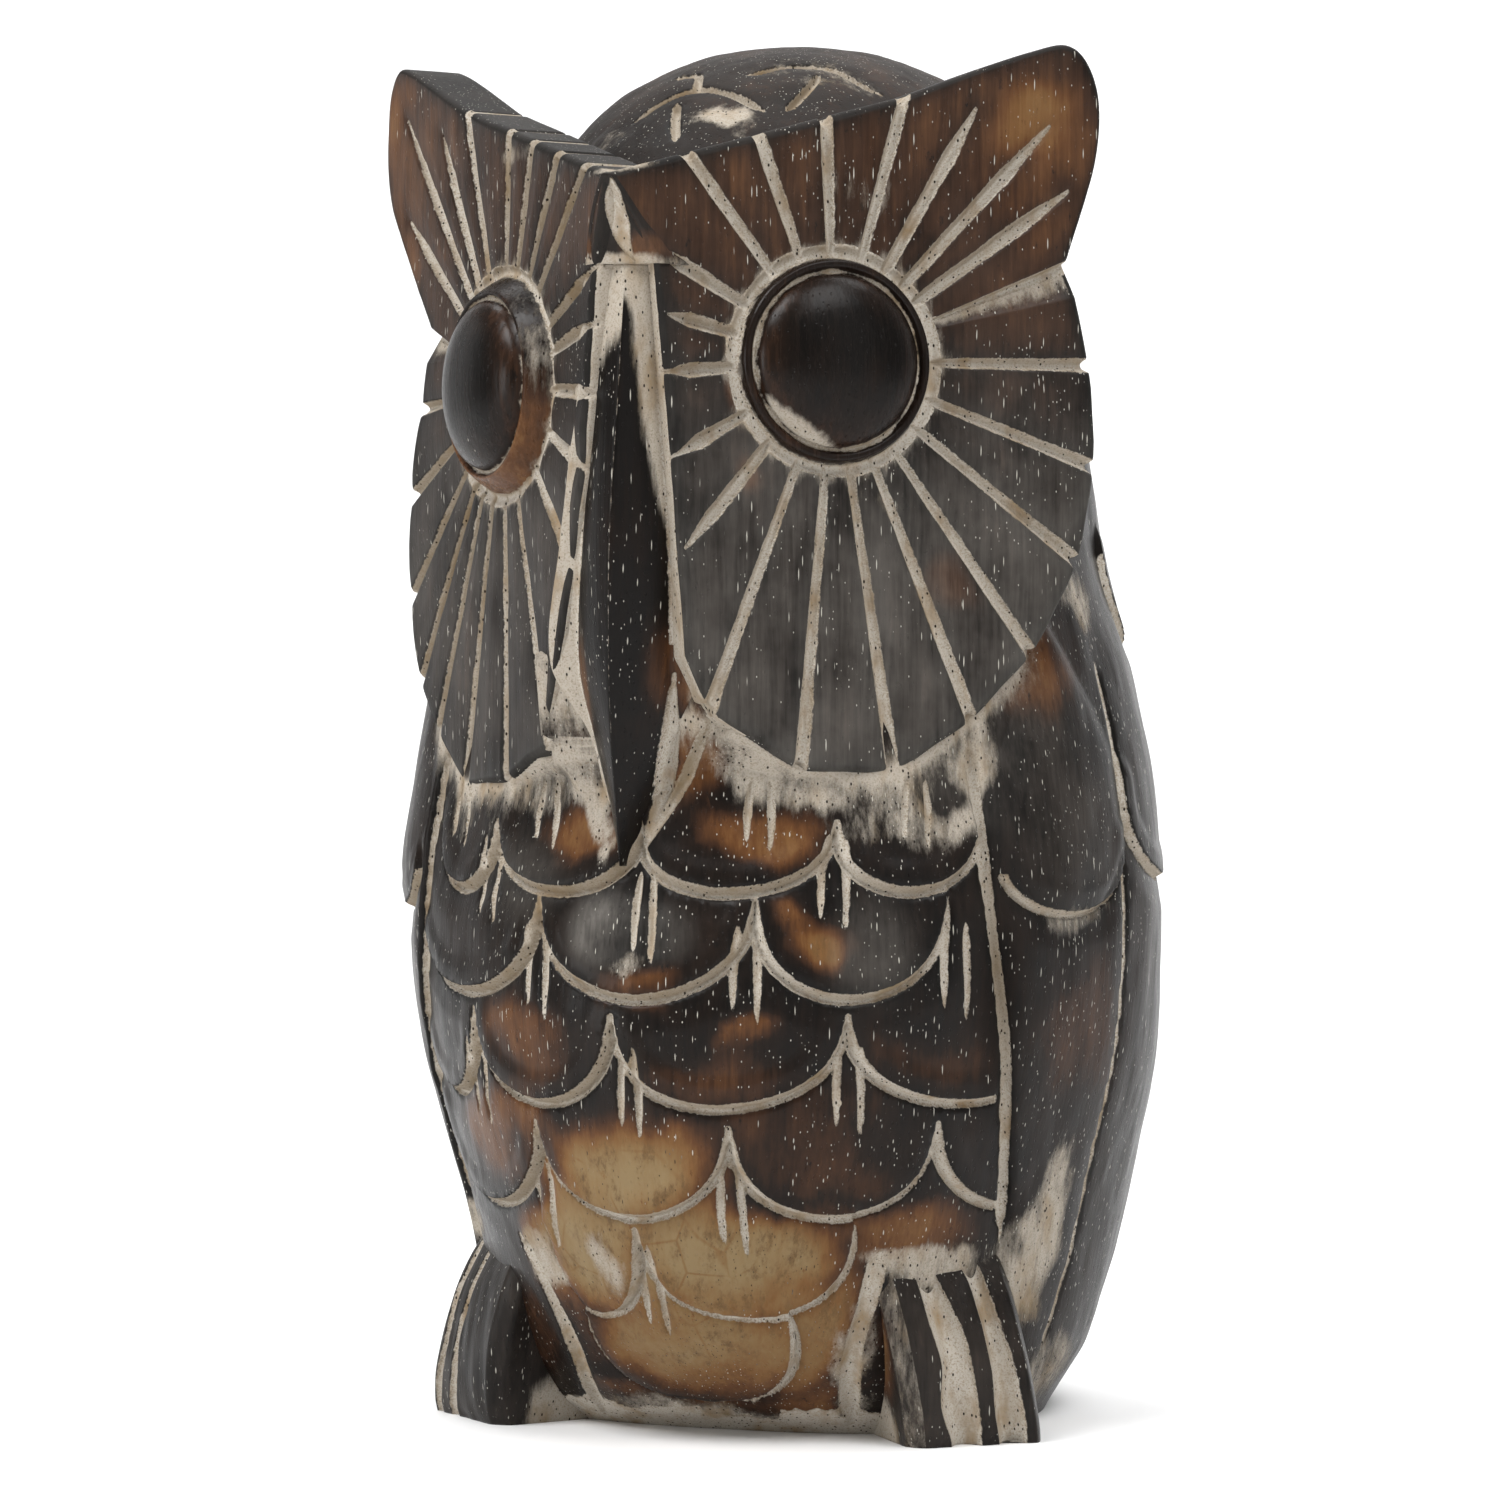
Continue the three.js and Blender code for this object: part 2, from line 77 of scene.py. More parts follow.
RIGHT = {
    "side": 1,
    "ear_start": (66, 282.8),
    "ear": [(95, 293.6), (106, 295.3), (111.6, 286), (111, 271), (104.3, 250.4)],
    "inner": [(23.4, 153.9), (17.7, 166), (14.4, 208), (10.9, 246)],
    "eye": (50.8, 227.3), "flange": 21, "skirt": 1.6, "slope": 1.0,
    "disc": [(1, 59), (-19, 63.5), (-36, 69.5), (-53, 75.6), (-67, 80.7), (-81, 86.5), (-95, 85),
             (-111, 77.6)],
    "top": [(128, 53), (110, 49.5), (92, 51), (74, 58.5)],
    "free": [(59, 63), (46, 71), (35, 65.5), (-130, 51), (-150, 40), (-175, 36.5), (167, 37.5),
             (151, 45)],
    "notch": (23, 58),
}
LEFT = {
    "side": -1,
    "ear_start": (71, 285.5),
    "ear": [(97, 296.6), (106, 297.6), (110.3, 288), (108, 268), (87, 239)],
    "inner": [(29.5, 151.5), (20.5, 171), (11.4, 204), (5.8, 246)],
    "eye": (50, 224.2), "flange": 22.6, "skirt": 4.0, "slope": 3.4,
    "disc": [(-3, 44), (-24, 53.5), (-42, 66), (-55, 77), (-65, 81.5), (-77, 87.5), (-91, 84),
             (-106, 79.5)],
    "top": [(133, 57), (120, 53.5), (106, 55.5), (93, 57.5), (73, 64)],
    "free": [(61, 65), (51, 80), (39, 63), (-130, 54), (-153, 43), (-174, 43), (167, 43.5),
             (154, 47.5)],
    "notch": (22, 40),
}
DOME = 18.0
DOME_HEIGHT = 7.0
PLATE_COLUMNS = 760
PLATE_EDGE = 1.7
RAY_HALF = 1.38
RAY_DEPTH = 1.5
FIELD_RISE = 0.9
NICK = 1.35

BEAK_TOP = 246.0
BEAK_Z = np.array([123, 136, 150, 165, 191, 225, BEAK_TOP])
BEAK = {
    "x": [-4.5, -3.6, -2.8, -2, -0.6, 1.2, 1.5],
    "ridge": [-66.5, -71, -75.5, -79, -82, -81, -79],
    "half": [1, 4.6, 7.2, 10.2, 8.8, 6.2, 5],
    "floor": [-62, -62, -66, -69, -72, -74, -75.5],
    "left_floor": [-62, -62.5, -67, -70, -74.6, -77.5, -78],
    "wide": [1, 5, 9, 9.8, 9, 5.4, 4.4],
    "flare": [0.3, 0.3, 0.5, 6.5, 5, 4, 4],
}
THROAT = np.array([(30.0, -42.0), (30.0, -20.0), (-30.0, -20.0), (-30.0, -42.0)])
SLOT = [(8.4, 162.5), (6.4, 149), (3.4, 138), (0.2, 128)]
SLOT_HALF = 1.8
BROW_LEAF = [(1.1, 262.8), (1.1, 260.5), (1.1, 257.5), (1.5, 253.5), (2.1, 250), (3.7, 246.4)]
FACET_EDGE = [(16, 156.5), (7.1, 139), (-2, 123)]

SCALES = [
    (132, 117.5, [-47, -30, -1, 29.5, 51]),
    (116, 95.5, [-54, -19, 18.5, 46]),
    (92, 73, [-56, -35, -5, 32, 68]),
    (69, 49.5, [-56, -22, 15, 46, 76]),
    (47, 27.5, [-24, -4, 34]),
    (27, 7.5, [-19, 22]),
]
BACK_SCALES = [
    (190, 169, [97, 138, 180, 222, 263]),
    (140, 119, [80, 120, 160, 200, 240, 280]),
]
TICKS = [
    (141, 13, [-41, -19, 18.5, 41]),
    (129, 17, [-31, 29.5]),
    (122, 17, [1]),
    (111, 18, [-19.5, 17.5, 47.5]),
    (86, 17, [-36, -2, 32.5]),
    (60, 16, [-23, 15]),
    (44, 18, [-3]),
]
WING_LINES = [
    ([(49, 150), (52, 118), (56, 80), (59, 42)], 2.2),
    ([(80, 172), (80, 105), (76, 55), (74, 14)], 1.5),
    ([(110, 121), (108, 60), (102, 10)], 1.6),
    ([(140, 125), (138, 60), (132, 10)], 1.6),
]
SHOULDER = (126, 112, (53, 80))
BELLY_LINES = [
    ([(-33, 43), (-29, 34), (-25, 20), (-23, 2)], 4.2),
    ([(38, 41), (36, 32), (31, 18), (26, 3)], 4.6),
]
CROWN_LINES = [
    [(-24, 284), (-16, 289), (-6, 290.3), (5, 288), (14, 284)],
    [(6, 293.5), (18, 296), (33, 295), (46, 289)],
    [(-22, 294.5), (-13, 294.5), (-8, 290)],
    [(28, 293.5), (20, 284)],
    [(-12, 287), (-6, 277.5)],
]

FOOT = {
    "low": [(47.5, -31), (71.5, -12)],
    "high": [(39, -34), (60, -8.5)],
    "heading": math.radians(38),
    "heights": [0, 3, 10, 20, 31, 43],
    "bulge": [-0.8, 0.8, 2.6, 3.4, 2.4, -1.5],
    "gouge": [2.4, 2.8, 3, 2.8, 2.2, 1],
    "root": [(52, 12), (24, -2)],
}
GOUGE_Z = [5, 25, 43]
TOE_GOUGES = {
    1: [([0.4, 0.42, 0.33], [0.125, 0.115, 0.06]), ([0.76, 0.75, 0.69], [0.11, 0.08, 0.07])],
    -1: [([0.64, 0.64, 0.64], [0.05, 0.04, 0.035]), ([0.86, 0.86, 0.86], [0.05, 0.04, 0.035])],
}


# Curves, noise and meshes
def hermite(xs, values, x):
    """Smooth curve through the sections, as in the solid's own outline."""
    v = np.asarray(values, float)
    last = len(v) - 1
    before, after = np.r_[0, 0:last], np.r_[1:last + 1, last]
    slope = (v[after] - v[before]) / (xs[after] - xs[before])
    x = np.clip(x, xs[0], xs[-1])
    k = np.clip(np.searchsorted(xs, x, side="right") - 1, 0, last - 1)
    span = xs[k + 1] - xs[k]
    u = (x - xs[k]) / span
    blend = u * u * (3 - 2 * u)
    ends = v[k] * (1 - blend) + v[k + 1] * blend
    return ends + span * u * (1 - u) * ((1 - u) * slope[k] - u * slope[k + 1])


def smoothstep(a, b, x):
    u = np.clip((x - a) / (b - a), 0, 1)
    return u * u * (3 - 2 * u)


def lattice(cell, seed):
    """Fixed value from 0 to 1 for each whole-numbered place."""
    h = np.bitwise_xor.reduce(cell * (73856093, 19349663, 83492791), axis=-1) ^ (seed * 15485863)
    h = h & 0xFFFFFFFF
    h = ((h ^ (h >> 13)) * 1274126177) & 0xFFFFFFFF
    h = ((h ^ (h >> 15)) * 668265263) & 0xFFFFFFFF
    return ((h >> 8) & 0xFFFF) / 65535.0


def noise(points, size, seed=1):
    """Smooth seeded noise from -1 to 1; size is a feature size in mm, or one for each axis."""
    q = points / np.asarray(size, float)
    cell = np.floor(q).astype(np.int64)
    u = smoothstep(0, 1, q - cell)
    total = np.zeros(points.shape[:-1])
    for corner in np.ndindex(2, 2, 2):
        total += np.where(corner, u, 1 - u).prod(axis=-1) * lattice(cell + corner, seed)
    return 2 * total - 1


def path_distance(points, path, sizes):
    """Distance from each point to a polyline, and the line's size at the nearest place."""
    best = np.full(points.shape[:-1], 1e9)
    size = np.ones(points.shape[:-1])
    for a, b, sa, sb in zip(path[:-1], path[1:], sizes[:-1], sizes[1:]):
        step = b - a
        t = np.clip(((points - a) @ step) / max(step @ step, 1e-9), 0, 1)
        gap = np.linalg.norm(points - a - t[..., None] * step, axis=-1)
        near = gap < best
        best = np.where(near, gap, best)
        size = np.where(near, sa + (sb - sa) * t, size)
    return best, size


def catmull(stops, steps):
    """Smooth curve through a few stops."""
    p = np.asarray(stops, float)
    p = np.vstack([2 * p[0] - p[1], p, 2 * p[-1] - p[-2]])[:, None]
    a, b, c, d = p[:-3], p[1:-2], p[2:-1], p[3:]
    u = (np.arange(steps) / steps)[:, None]
    curve = 0.5 * (2 * b + (c - a) * u + (2 * a - 5 * b + 4 * c - d) * u ** 2
                   + (3 * b - a - 3 * c + d) * u ** 3)
    return np.vstack([curve.reshape(-1, p.shape[-1]), p[-2]])


def hollow(gap, half):
    """Round section of a gouge cut: 1 in its middle and 0 from its half width on."""
    return np.clip(1 - (gap / half) ** 2, 0, 1)


def front_distance(points, line):
    """Distance, seen from the front, to a curve that runs thin at both ends, and its size there."""
    stops = catmull(line, 8)
    sizes = np.clip(np.sin(np.linspace(0, np.pi, len(stops))) ** 0.6, 0.3, 1)
    return path_distance(points[..., ::2], stops, sizes)


def normals_of(rings):
    """Unit normals of a grid of points whose rows are closed rings."""
    across = np.roll(rings, -1, axis=1) - np.roll(rings, 1, axis=1)
    normals = np.cross(across, np.gradient(rings, axis=0))
    return normals / np.maximum(np.linalg.norm(normals, axis=-1, keepdims=True), 1e-9)


def level(ring, z):
    """Ring of points at one height."""
    return np.column_stack([ring, np.full(len(ring), z)])


def lofted(rings, ends=None):
    """Closed form through a stack of rings: points, quads and the triangles of its two ends."""
    rows, columns, _ = rings.shape
    ends = [rings[0].mean(axis=0), rings[-1].mean(axis=0)] if ends is None else ends
    c = np.arange(columns)
    d = (c + 1) % columns
    r = columns * np.arange(rows - 1)[:, None]
    quads = np.stack([r + c, r + d, r + columns + d, r + columns + c], axis=-1).reshape(-1, 4)
    middle, last = rows * columns, (rows - 1) * columns
    low = np.stack([d, c, np.full(columns, middle)], axis=-1)
    high = np.stack([last + c, last + d, np.full(columns, middle + 1)], axis=-1)
    return np.vstack([rings.reshape(-1, 3), ends]), quads, np.vstack([low, high])


def filled(values, form, rest=0.0):
    """Layer of a form: the values of its first points and one value for the rest."""
    return np.append(values, np.full(len(form[0]) - values.size, rest))


def in_scene(name, data):
    thing = bpy.data.objects.new(name, data)
    bpy.context.scene.collection.objects.link(thing)
    return thing


def make_piece(name, form, flip=False, **layers):
    """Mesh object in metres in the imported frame, with the float layers and not too many triangles."""
    points, quads, triangles = form
    if flip:
        quads, triangles = quads[:, ::-1], triangles[:, ::-1]
    totals = np.repeat([4, 3], [len(quads), len(triangles)])
    mesh = bpy.data.meshes.new(name)
    mesh.vertices.add(len(points))
    mesh.vertices.foreach_set("co", (MM * (points - (0, ORIGIN_Y, 0))).astype(np.float32).ravel())
    mesh.loops.add(quads.size + triangles.size)
    mesh.loops.foreach_set("vertex_index", np.append(quads, triangles).astype(np.int32))
    mesh.polygons.add(len(totals))
    mesh.polygons.foreach_set("loop_start", (np.cumsum(totals) - totals).astype(np.int32))
    mesh.update(calc_edges=True)
    for key in LAYERS:
        values = np.full(len(points), layers.get(key, 0.0), np.float32)
        mesh.attributes.new(key, "FLOAT", "POINT").data.foreach_set("value", values)
    mesh.validate()
    piece = in_scene(name, mesh)
    count = sum(len(face.vertices) - 2 for face in mesh.polygons)
    if count > TRIANGLE_LIMIT:
        thin = piece.modifiers.new("thin", "DECIMATE")
        thin.ratio = TRIANGLE_LIMIT / count
        thin.use_collapse_triangulate = True
        bpy.context.view_layer.objects.active = piece
        bpy.ops.object.modifier_apply(modifier="thin")
    piece.data.polygons.foreach_set("use_smooth", np.ones(len(piece.data.polygons), bool))
    return piece


def stir(points, size, seed):
    """Noise along all three axes, which makes borders uneven."""
    return np.stack([noise(points, size, seed + k) for k in range(3)], axis=-1)


def tint(points, spots, value):
    """Blend a layer towards each spot's value; a spot is its centre, its three radii and its value."""
    for *place, target in spots:
        gap = np.linalg.norm((points - place[:3]) / place[3:], axis=-1)
        value = value + (target - value) * smoothstep(1.2, 0.35, gap)
    return value


# Body
def wing_turn(z):
    """Turn of the wing's front edge at a height."""
    return np.interp(z, WING_HEIGHTS, WING_TURNS)


def body_point(turn, z):
    """Point of the plain body at a turn in degrees from the front, to the right, and a height."""
    angle = np.radians(turn)
    facing = np.cos(angle)
    across = np.sin(angle)
    size = {key: hermite(BODY_Z, values, z) for key, values in BODY.items()}
    crown = smoothstep(240, 268, z)
    rear = crown * smoothstep(0.55, -0.55, facing) + (1 - crown) * (facing < 0)
    power = 2 / (size["square"] + (BACK_SQUARE - size["square"]) * rear)
    reach = np.where(facing >= 0, -1, 1) * ((size["middle"] - size["front"]) * (1 - rear)
                                            + (size["back"] - size["middle"]) * rear)
    x = size["half"] * np.sign(across) * np.abs(across) ** power
    y = size["middle"] + reach * np.abs(facing) ** power
    swing = np.abs((np.asarray(turn) + 180) % 360 - 180)
    step = smoothstep(0.2, 1.6, swing - wing_turn(z)) * WING_RAISE * smoothstep(235, 200, z)
    return np.stack([x + step * across, y - step * facing, z + 0 * x], axis=-1)


def scale_stops(start, end, cusp, bottom):
    """Curve of one hanging scale between two turns, and the sizes of its cut."""
    angle = np.linspace(0, np.pi, 37)
    turn = start + (end - start) * (1 - np.cos(angle)) / 2
    z = cusp - (cusp - bottom) * np.sin(angle) ** 0.85
    sizes = np.clip(3.2 * np.sin(angle) + 0.55, 0.55, 1)
    return np.stack([turn, z], axis=-1), sizes


def body_cuts():
    """Every cut on the body: stops as turn and height, sizes, width, depth, and if it is a scale."""
    cuts = []
    for cusp, bottom, turns in SCALES + BACK_SCALES:
        for start, end in zip(turns[:-1], turns[1:]):
            stops, sizes = scale_stops(start, end, cusp, bottom)
            shown = (np.abs(stops[:, 0]) < wing_turn(stops[:, 1])) | (stops[:, 0] > 75) & (cusp > 120)
            if shown.sum() > 2:
                width = 2.6 if start < 80 else 1.7
                cuts.append((stops[shown], sizes[shown], width, 0.6 * width, True))
    for top, length, turns in TICKS:
        for turn in turns:
            for k, shift in enumerate((-1.75, 1.75)):
                reach = length * (1.12 if k else 0.98)
                stops = catmull([(turn + 0.75 * shift, top), (turn + shift, top - 0.5 * reach),
                                 (turn + shift, top - reach)], 8)
                u = np.linspace(0, 1, len(stops))
                cuts.append((stops, 0.2 + 0.8 * np.sin(np.pi * u ** 0.85) ** 0.5, 1.9, 1.1, False))
    cusp, bottom, (start, end) = SHOULDER
    lines = []
    for side in (1, -1):
        lines += [([(side * turn, z) for turn, z in line], width, 0.6 * width, 14, 6, 0.35)
                  for line, width in WING_LINES]
        stops, sizes = scale_stops(side * start, side * end, cusp, bottom)
        kept = (np.abs(stops[:, 0]) > 0.5 * (start + end)) | (stops[:, 1] < cusp - 5)
        cuts.append((stops[kept], sizes[kept], 1.7, 1.2, True))
    lines += [(line, width, 1.5, 12, 5, 0.4)
              for line, width in BELLY_LINES + [(line, 2.2) for line in CROWN_LINES]]
    for line, width, deep, steps, swell, least in lines:
        stops = catmull(line, steps)
        u = np.linspace(0, 1, len(stops))
        cuts.append((stops, np.clip(swell * np.sin(np.pi * u), least, 1), width, deep, False))
    return cuts


def spread(*spans):
    """Values over several spans, each with its own step."""
    return np.concatenate([
        np.arange(start, end - 1e-6, (end - start) / max(round((end - start) / step), 1))
        for start, end, step in spans])


def build_body():
    turns = spread((-180, -112, 1.3), (-112, -66, 0.7), (-66, 66, 0.42), (66, 118, 0.6), (118, 180, 1.2))
    heights = np.append(spread((0, 150, 0.55), (150, 255, 1.2), (255, 283, 0.6), (283, 296, 0.3),
                               (296, TOP, 0.25)), TOP)
    T, Z = np.meshgrid(turns, heights)
    P = body_point(T, Z)
    N = normals_of(P)
    cut = np.full(T.shape, NO_CUT)
    depth, soft, burn, lift = np.zeros((4, *T.shape))
    for stops, sizes, width, deep, scale in body_cuts():
        line = body_point(*stops.T)
        low, high = np.searchsorted(heights, (stops[:, 1].min() - 8, stops[:, 1].max() + 8))
        swing = (turns - stops[:, 0].mean() + 180) % 360 - 180
        reach = (stops[:, 0].max() - stops[:, 0].min()) / 2 + 9
        columns = np.nonzero(np.abs(swing) < reach)[0]
        block = np.ix_(np.arange(low, high), columns)
        gap, size = path_distance(P[block], line, sizes)
        half = 0.5 * width * size * (1 + 0.1 * noise(P[block], 5, 11))
        depth[block] = np.maximum(depth[block], deep * size * hollow(gap, half))
        cut[block] = np.maximum(cut[block], half - gap)
        soft[block] = np.maximum(soft[block], np.exp(-(gap / 3.2) ** 2) * size)
        if scale:
            order = np.argsort(stops[:, 0])
            curve = np.interp(T[block], stops[order, 0], stops[order, 1], left=1e3, right=1e3)
            inside = smoothstep(-0.6, 0.6, Z[block] - curve)
            burn[block] = np.maximum(burn[block], np.exp(-(gap / 5.5) ** 2) * inside)
            lift[block] += np.exp(-gap / 7) * smoothstep(8, 4, gap) * (2 * inside - 0.7)

    bulge = shoulder_lens(T, Z)
    texture = 0.22 * noise(P, (7, 7, 14), 3) + 0.1 * noise(P, (2.6, 2.6, 7), 4)
    texture += 0.45 * noise(P, (26, 26, 40), 5)
    fade = smoothstep(0, 5, Z)
    lift = SCALE_STEP * np.tanh(lift / SCALE_STEP)
    move = (bulge + texture + lift) * fade - 0.3 * soft * fade - depth * smoothstep(0, 2, Z)
    shaped = P + N * move[..., None]
    shaped, edge_gap = fill_under_plates(shaped, depth)
    shaped, cut = facets_beside_beak(shaped, cut)
    strip = PAINTED_STRIP - Z + 2.2 * noise(P, (6, 6, 4), 12) + 1.2 * noise(P, (1.5, 1.5, 2), 13)
    cut = np.maximum(cut, np.where(np.abs(T) < 62, strip, NO_CUT))
    shaped[..., 2] = np.where(Z <= 0, 0, np.maximum(shaped[..., 2], 0))
    # Painted shade on the cut walls that turn away from the light, a brown stain in the wing's front
    # groove, and a rougher crown top.
    shade = groove_shade(shaped, N, cut)
    shade = np.maximum(shade, np.exp(-((T - 54) / 4) ** 2 - ((Z - 98) / 24) ** 2))
    shade = np.maximum(shade, 0.4 * smoothstep(258, 285, Z))

    form = lofted(shaped, [[0, 25, 0], [0, 32, shaped[-1, :, 2].mean() + 0.3]])
    heat, wash, haze = body_colour(form[0], filled(burn, form), filled(edge_gap, form, 99))
    return make_piece("owl_body", form, cut=filled(cut, form, NO_CUT), warm=heat, wash=wash, haze=haze,
                      near=filled(soft, form), shade=filled(shade, form))


def groove_shade(points, normals, cut):
    """How far the wall of a cut turns away from the upper left, where the light comes from: painted
    shade.
    """
    turned = normals_of(points)
    turned *= np.sign((turned * normals).sum(axis=-1, keepdims=True))
    return np.clip(-1.4 * (turned - normals) @ (-0.5, -0.1, 0.85), 0, 1) * smoothstep(-0.6, 0.2, cut)


def facet_line(z, side):
    """Where the hollow beside the beak meets the chest."""
    if side > 0:
        return np.clip(-2 + (z - 123) * 0.54, -3, 17)
    return np.clip(-5.5 - (z - 123.5) * 0.66, -23, -5)


def facets_beside_beak(points, cut):
    """Two flat hollows run down beside the beak, with a slot and a cut edge on the right one."""
    x, y, z = points[..., 0], points[..., 1], points[..., 2]
    between = smoothstep(-2.5, 0.5, facet_line(z, 1) - x) * smoothstep(-2.5, 0.5, x - facet_line(z, -1))
    between = between * smoothstep(122, 128, z) * smoothstep(172, 166, z) * (y < 0)
    target = hermite(BEAK_Z, BEAK["floor"], z) + 1.0
    y = y + between * np.minimum(0, target - y)
    for line, width, deep in ((SLOT, SLOT_HALF, SLOT_HALF), (FACET_EDGE, 1.25, 1.2)):
        gap, size = front_distance(points, line)
        gap = np.where(y < -45, gap, 9)
        y = y + deep * size * hollow(gap, width * size)
        cut = np.maximum(cut, width * size - gap)
    return np.stack([x, y, z], axis=-1), cut


def fill_under_plates(points, depth):
    """The chest rises in a hollow curve to the lower edge of each plate."""
    nearest = np.full(points.shape[:-1], 99.0)
    table = np.linspace(-np.pi, np.pi, 1441)
    for face in (RIGHT, LEFT):
        side = face["side"]
        across, rise, out = plate_spot(face, points)
        edge = np.interp(np.arctan2(rise, across), table, plate_reach(face, table))
        gap = np.hypot(across, rise) - edge
        share = np.clip(gap / 15, -1, 1)
        target = np.where(gap > 0, -1.6 - 12 * (1 - (1 - share) ** 2), -1.6 + 1.1 * gap)
        x, z = side * points[..., 0], points[..., 2]
        beside = x - side * facet_line(z, side)
        room = smoothstep(-3, 1, beside) * smoothstep(62, 48, x) * smoothstep(215, 190, z)
        room = room * smoothstep(-12, -6, gap) * smoothstep(15, 13, gap) * (across > -60)
        lift = np.clip(target - out - 0.5 * depth, 0, 14) * room
        points = points + lift[..., None] * outward(face)
        near = (gap > -12) & (side * points[..., 0] > -6)
        nearest = np.where(near, np.minimum(nearest, np.abs(gap)), nearest)
    return points, nearest


def shoulder_lens(T, Z):
    """Each shoulder feather is a raised drop, pointed at the top."""
    half = 14.5 * np.sqrt(np.clip((Z - 110) / 22, 0, 1)) * smoothstep(186, 135, Z)
    bulge = hollow(np.abs(T) - 66.5, np.maximum(half, 0.5)) ** 0.8
    return 2.2 * bulge * smoothstep(110, 122, Z) * smoothstep(0.5, 4, half)


HEAT_SPOTS = [
    (78, -3, 88, 12, 24, 20, 0.3), (69, -14, 162, 9, 20, 12, 0.5), (52, -42, 82, 14, 24, 8, 0.34),
    (-13, -63, 131, 14, 20, 8, 0.56), (24, -61, 130, 15, 24, 7, 0.58), (8, -62, 146, 8, 14, 14, 0.55),
    (35, -57, 108, 8, 16, 8, 0.72), (3, -69, 98, 11, 18, 7, 0.62), (29, -60, 116, 6, 14, 5, 0.6),
    (25, -63, 88, 8, 16, 5, 0.55), (-30, -58, 86, 16, 22, 11, 0.5), (-26, -52, 68, 10, 14, 10, 0.76),
    (-42, -47, 66, 14, 22, 12, 0.5), (14, -66, 80, 16, 24, 6, 0.42), (30, -55, 72, 24, 24, 9, 0.36),
    (-4, -64, 58, 26, 30, 17, 1), (-14, -56, 40, 30, 30, 18, 1), (18, -53, 40, 31, 30, 14, 1),
    (4, -46, 22, 32, 30, 16, 0.84), (14, -42, 14, 22, 18, 6, 0.6), (26, -38, 24, 15, 22, 18, 0.78),
    (46, -36, 46, 24, 26, 9, 0.56), (32, -52, 62, 17, 26, 9, 0.3), (-40, -30, 20, 9, 18, 14, 0.3),
    (-8, -34, 9, 26, 20, 4, 0.5), (24, -30, 9, 16, 20, 4, 0.5),
]
WASH_SPOTS = [
    (-12, -60, 144, 12, 19, 9, 0.7), (22, -60, 145, 13, 16, 9, 0.95), (34, -53, 139, 12, 14, 5, 0.8),
    (-13, -64, 146, 6, 12, 10, 1), (-10, -64, 136, 3.5, 12, 10, 0.9), (-7, -64, 128, 2.5, 12, 6, 0.9),
    (9, -64, 148, 7, 12, 10, 0.5), (0, -68, 104, 5, 10, 4, 0.6), (46, -43, 132, 13, 16, 8, 0.55),
    (61, -27, 145, 4.5, 16, 13, 0.75), (58, -35, 133, 7, 8, 6.5, 0.85),
    (-17, -64, 161, 14, 14, 16, 1.3), (-11, -62, 34, 6, 14, 12, 0.85), (-16, -58, 20, 6, 14, 12, 0.85),
    (59, -46, 131, 3.5, 8, 4, 1), (77, -9, 112, 12, 18, 4, 0.5), (68, 3, 57, 6, 9, 15, 0.8),
    (67, 2, 44, 11, 12, 13, 0.95), (61, -5, 33, 10, 12, 12, 0.95), (65, 16, 12, 9, 20, 14, 0.7),
    (50, -26, 41, 22, 16, 4, 0.95), (52, -24, 36, 16, 12, 7, 0.9), (-30, -44, 39, 7, 16, 6, 0.9),
    (-34, -38, 8, 11, 14, 7, 1.1), (35, -31, 20, 5, 10, 20, 0.62), (71, 9, 180, 6, 14, 8, 0.7),
    (-60, -10, 42, 9, 19, 5, 0.8), (0, -24, 1, 60, 30, 8, 0.95), (3, -24, 284.5, 12, 11, 6, 1.1),
    (22, -8, 292, 16, 9, 5, 0.42), (10, 0, 298, 44, 40, 9, 0.26), (-24, -22, 281, 9, 9, 4, 0.45),
]
# Patches of grey dust and painted sheen; the strong ones are painted highlights on the belly and the
# shoulder.
DUST_AND_SHEEN_SPOTS = [
    (62, -24, 148, 22, 30, 20, 0.75), (72, -4, 130, 14, 26, 22, 0.45), (-8, -68, 110, 9, 18, 9, 2.2),
    (4, -68, 109, 9, 18, 7, 0.8), (45, -50, 106, 10, 20, 12, 0.8), (-30, -58, 120, 14, 20, 10, 0.6),
    (66, 30, 40, 22, 50, 50, 0.12), (0, 20, 296, 60, 60, 20, 0.2),
]


def body_colour(points, burn, edge_gap):
    """Warmth, paint, grey dust and painted sheen of the wood, patchy and with soft uneven borders."""
    z = points[:, 2]
    moved = points + 4.5 * stir(points, 11, 51) + 1.6 * stir(points, (4, 4, 5), 54)
    heat = tint(moved, HEAT_SPOTS, 0.1 + 0.1 * smoothstep(262, 288, z))
    burn = burn * np.clip(0.45 + 0.9 * noise(points, 10, 57), 0, 1.2)
    heat = heat - 0.34 * burn * smoothstep(0.2, 0.7, heat)
    wash = tint(moved, WASH_SPOTS, 0.0)
    band = np.exp(-edge_gap / (4.5 + 2.5 * noise(points, (14, 14, 8), 58))) * smoothstep(225, 205, z)
    return heat, np.maximum(wash, 1.25 * band), tint(points, DUST_AND_SHEEN_SPOTS, 0.05)


# Face plates
def plate_outline(face):
    """Outline in plate coordinates, anticlockwise round the eye from the top of the ridge."""
    ridge = [(0, RIDGE_TOP)]
    ear = catmull([face["ear_start"]] + face["ear"], 12)
    turns, spans = np.array(face["disc"], float).T
    stops = np.arange(len(turns))
    steps = np.arange(4 * len(turns) - 3) / 4
    scoop = np.where(steps % 1 > 0, 1.3 * np.sin(np.pi * (steps % 1)) - 0.4, 0)
    turn = np.radians(np.interp(steps, stops, turns))
    length = np.interp(steps, stops, spans) - scoop
    disc = np.column_stack([length * np.cos(turn), length * np.sin(turn)]) + face["eye"]
    return np.vstack([ridge, ear, disc, face["inner"], ridge])


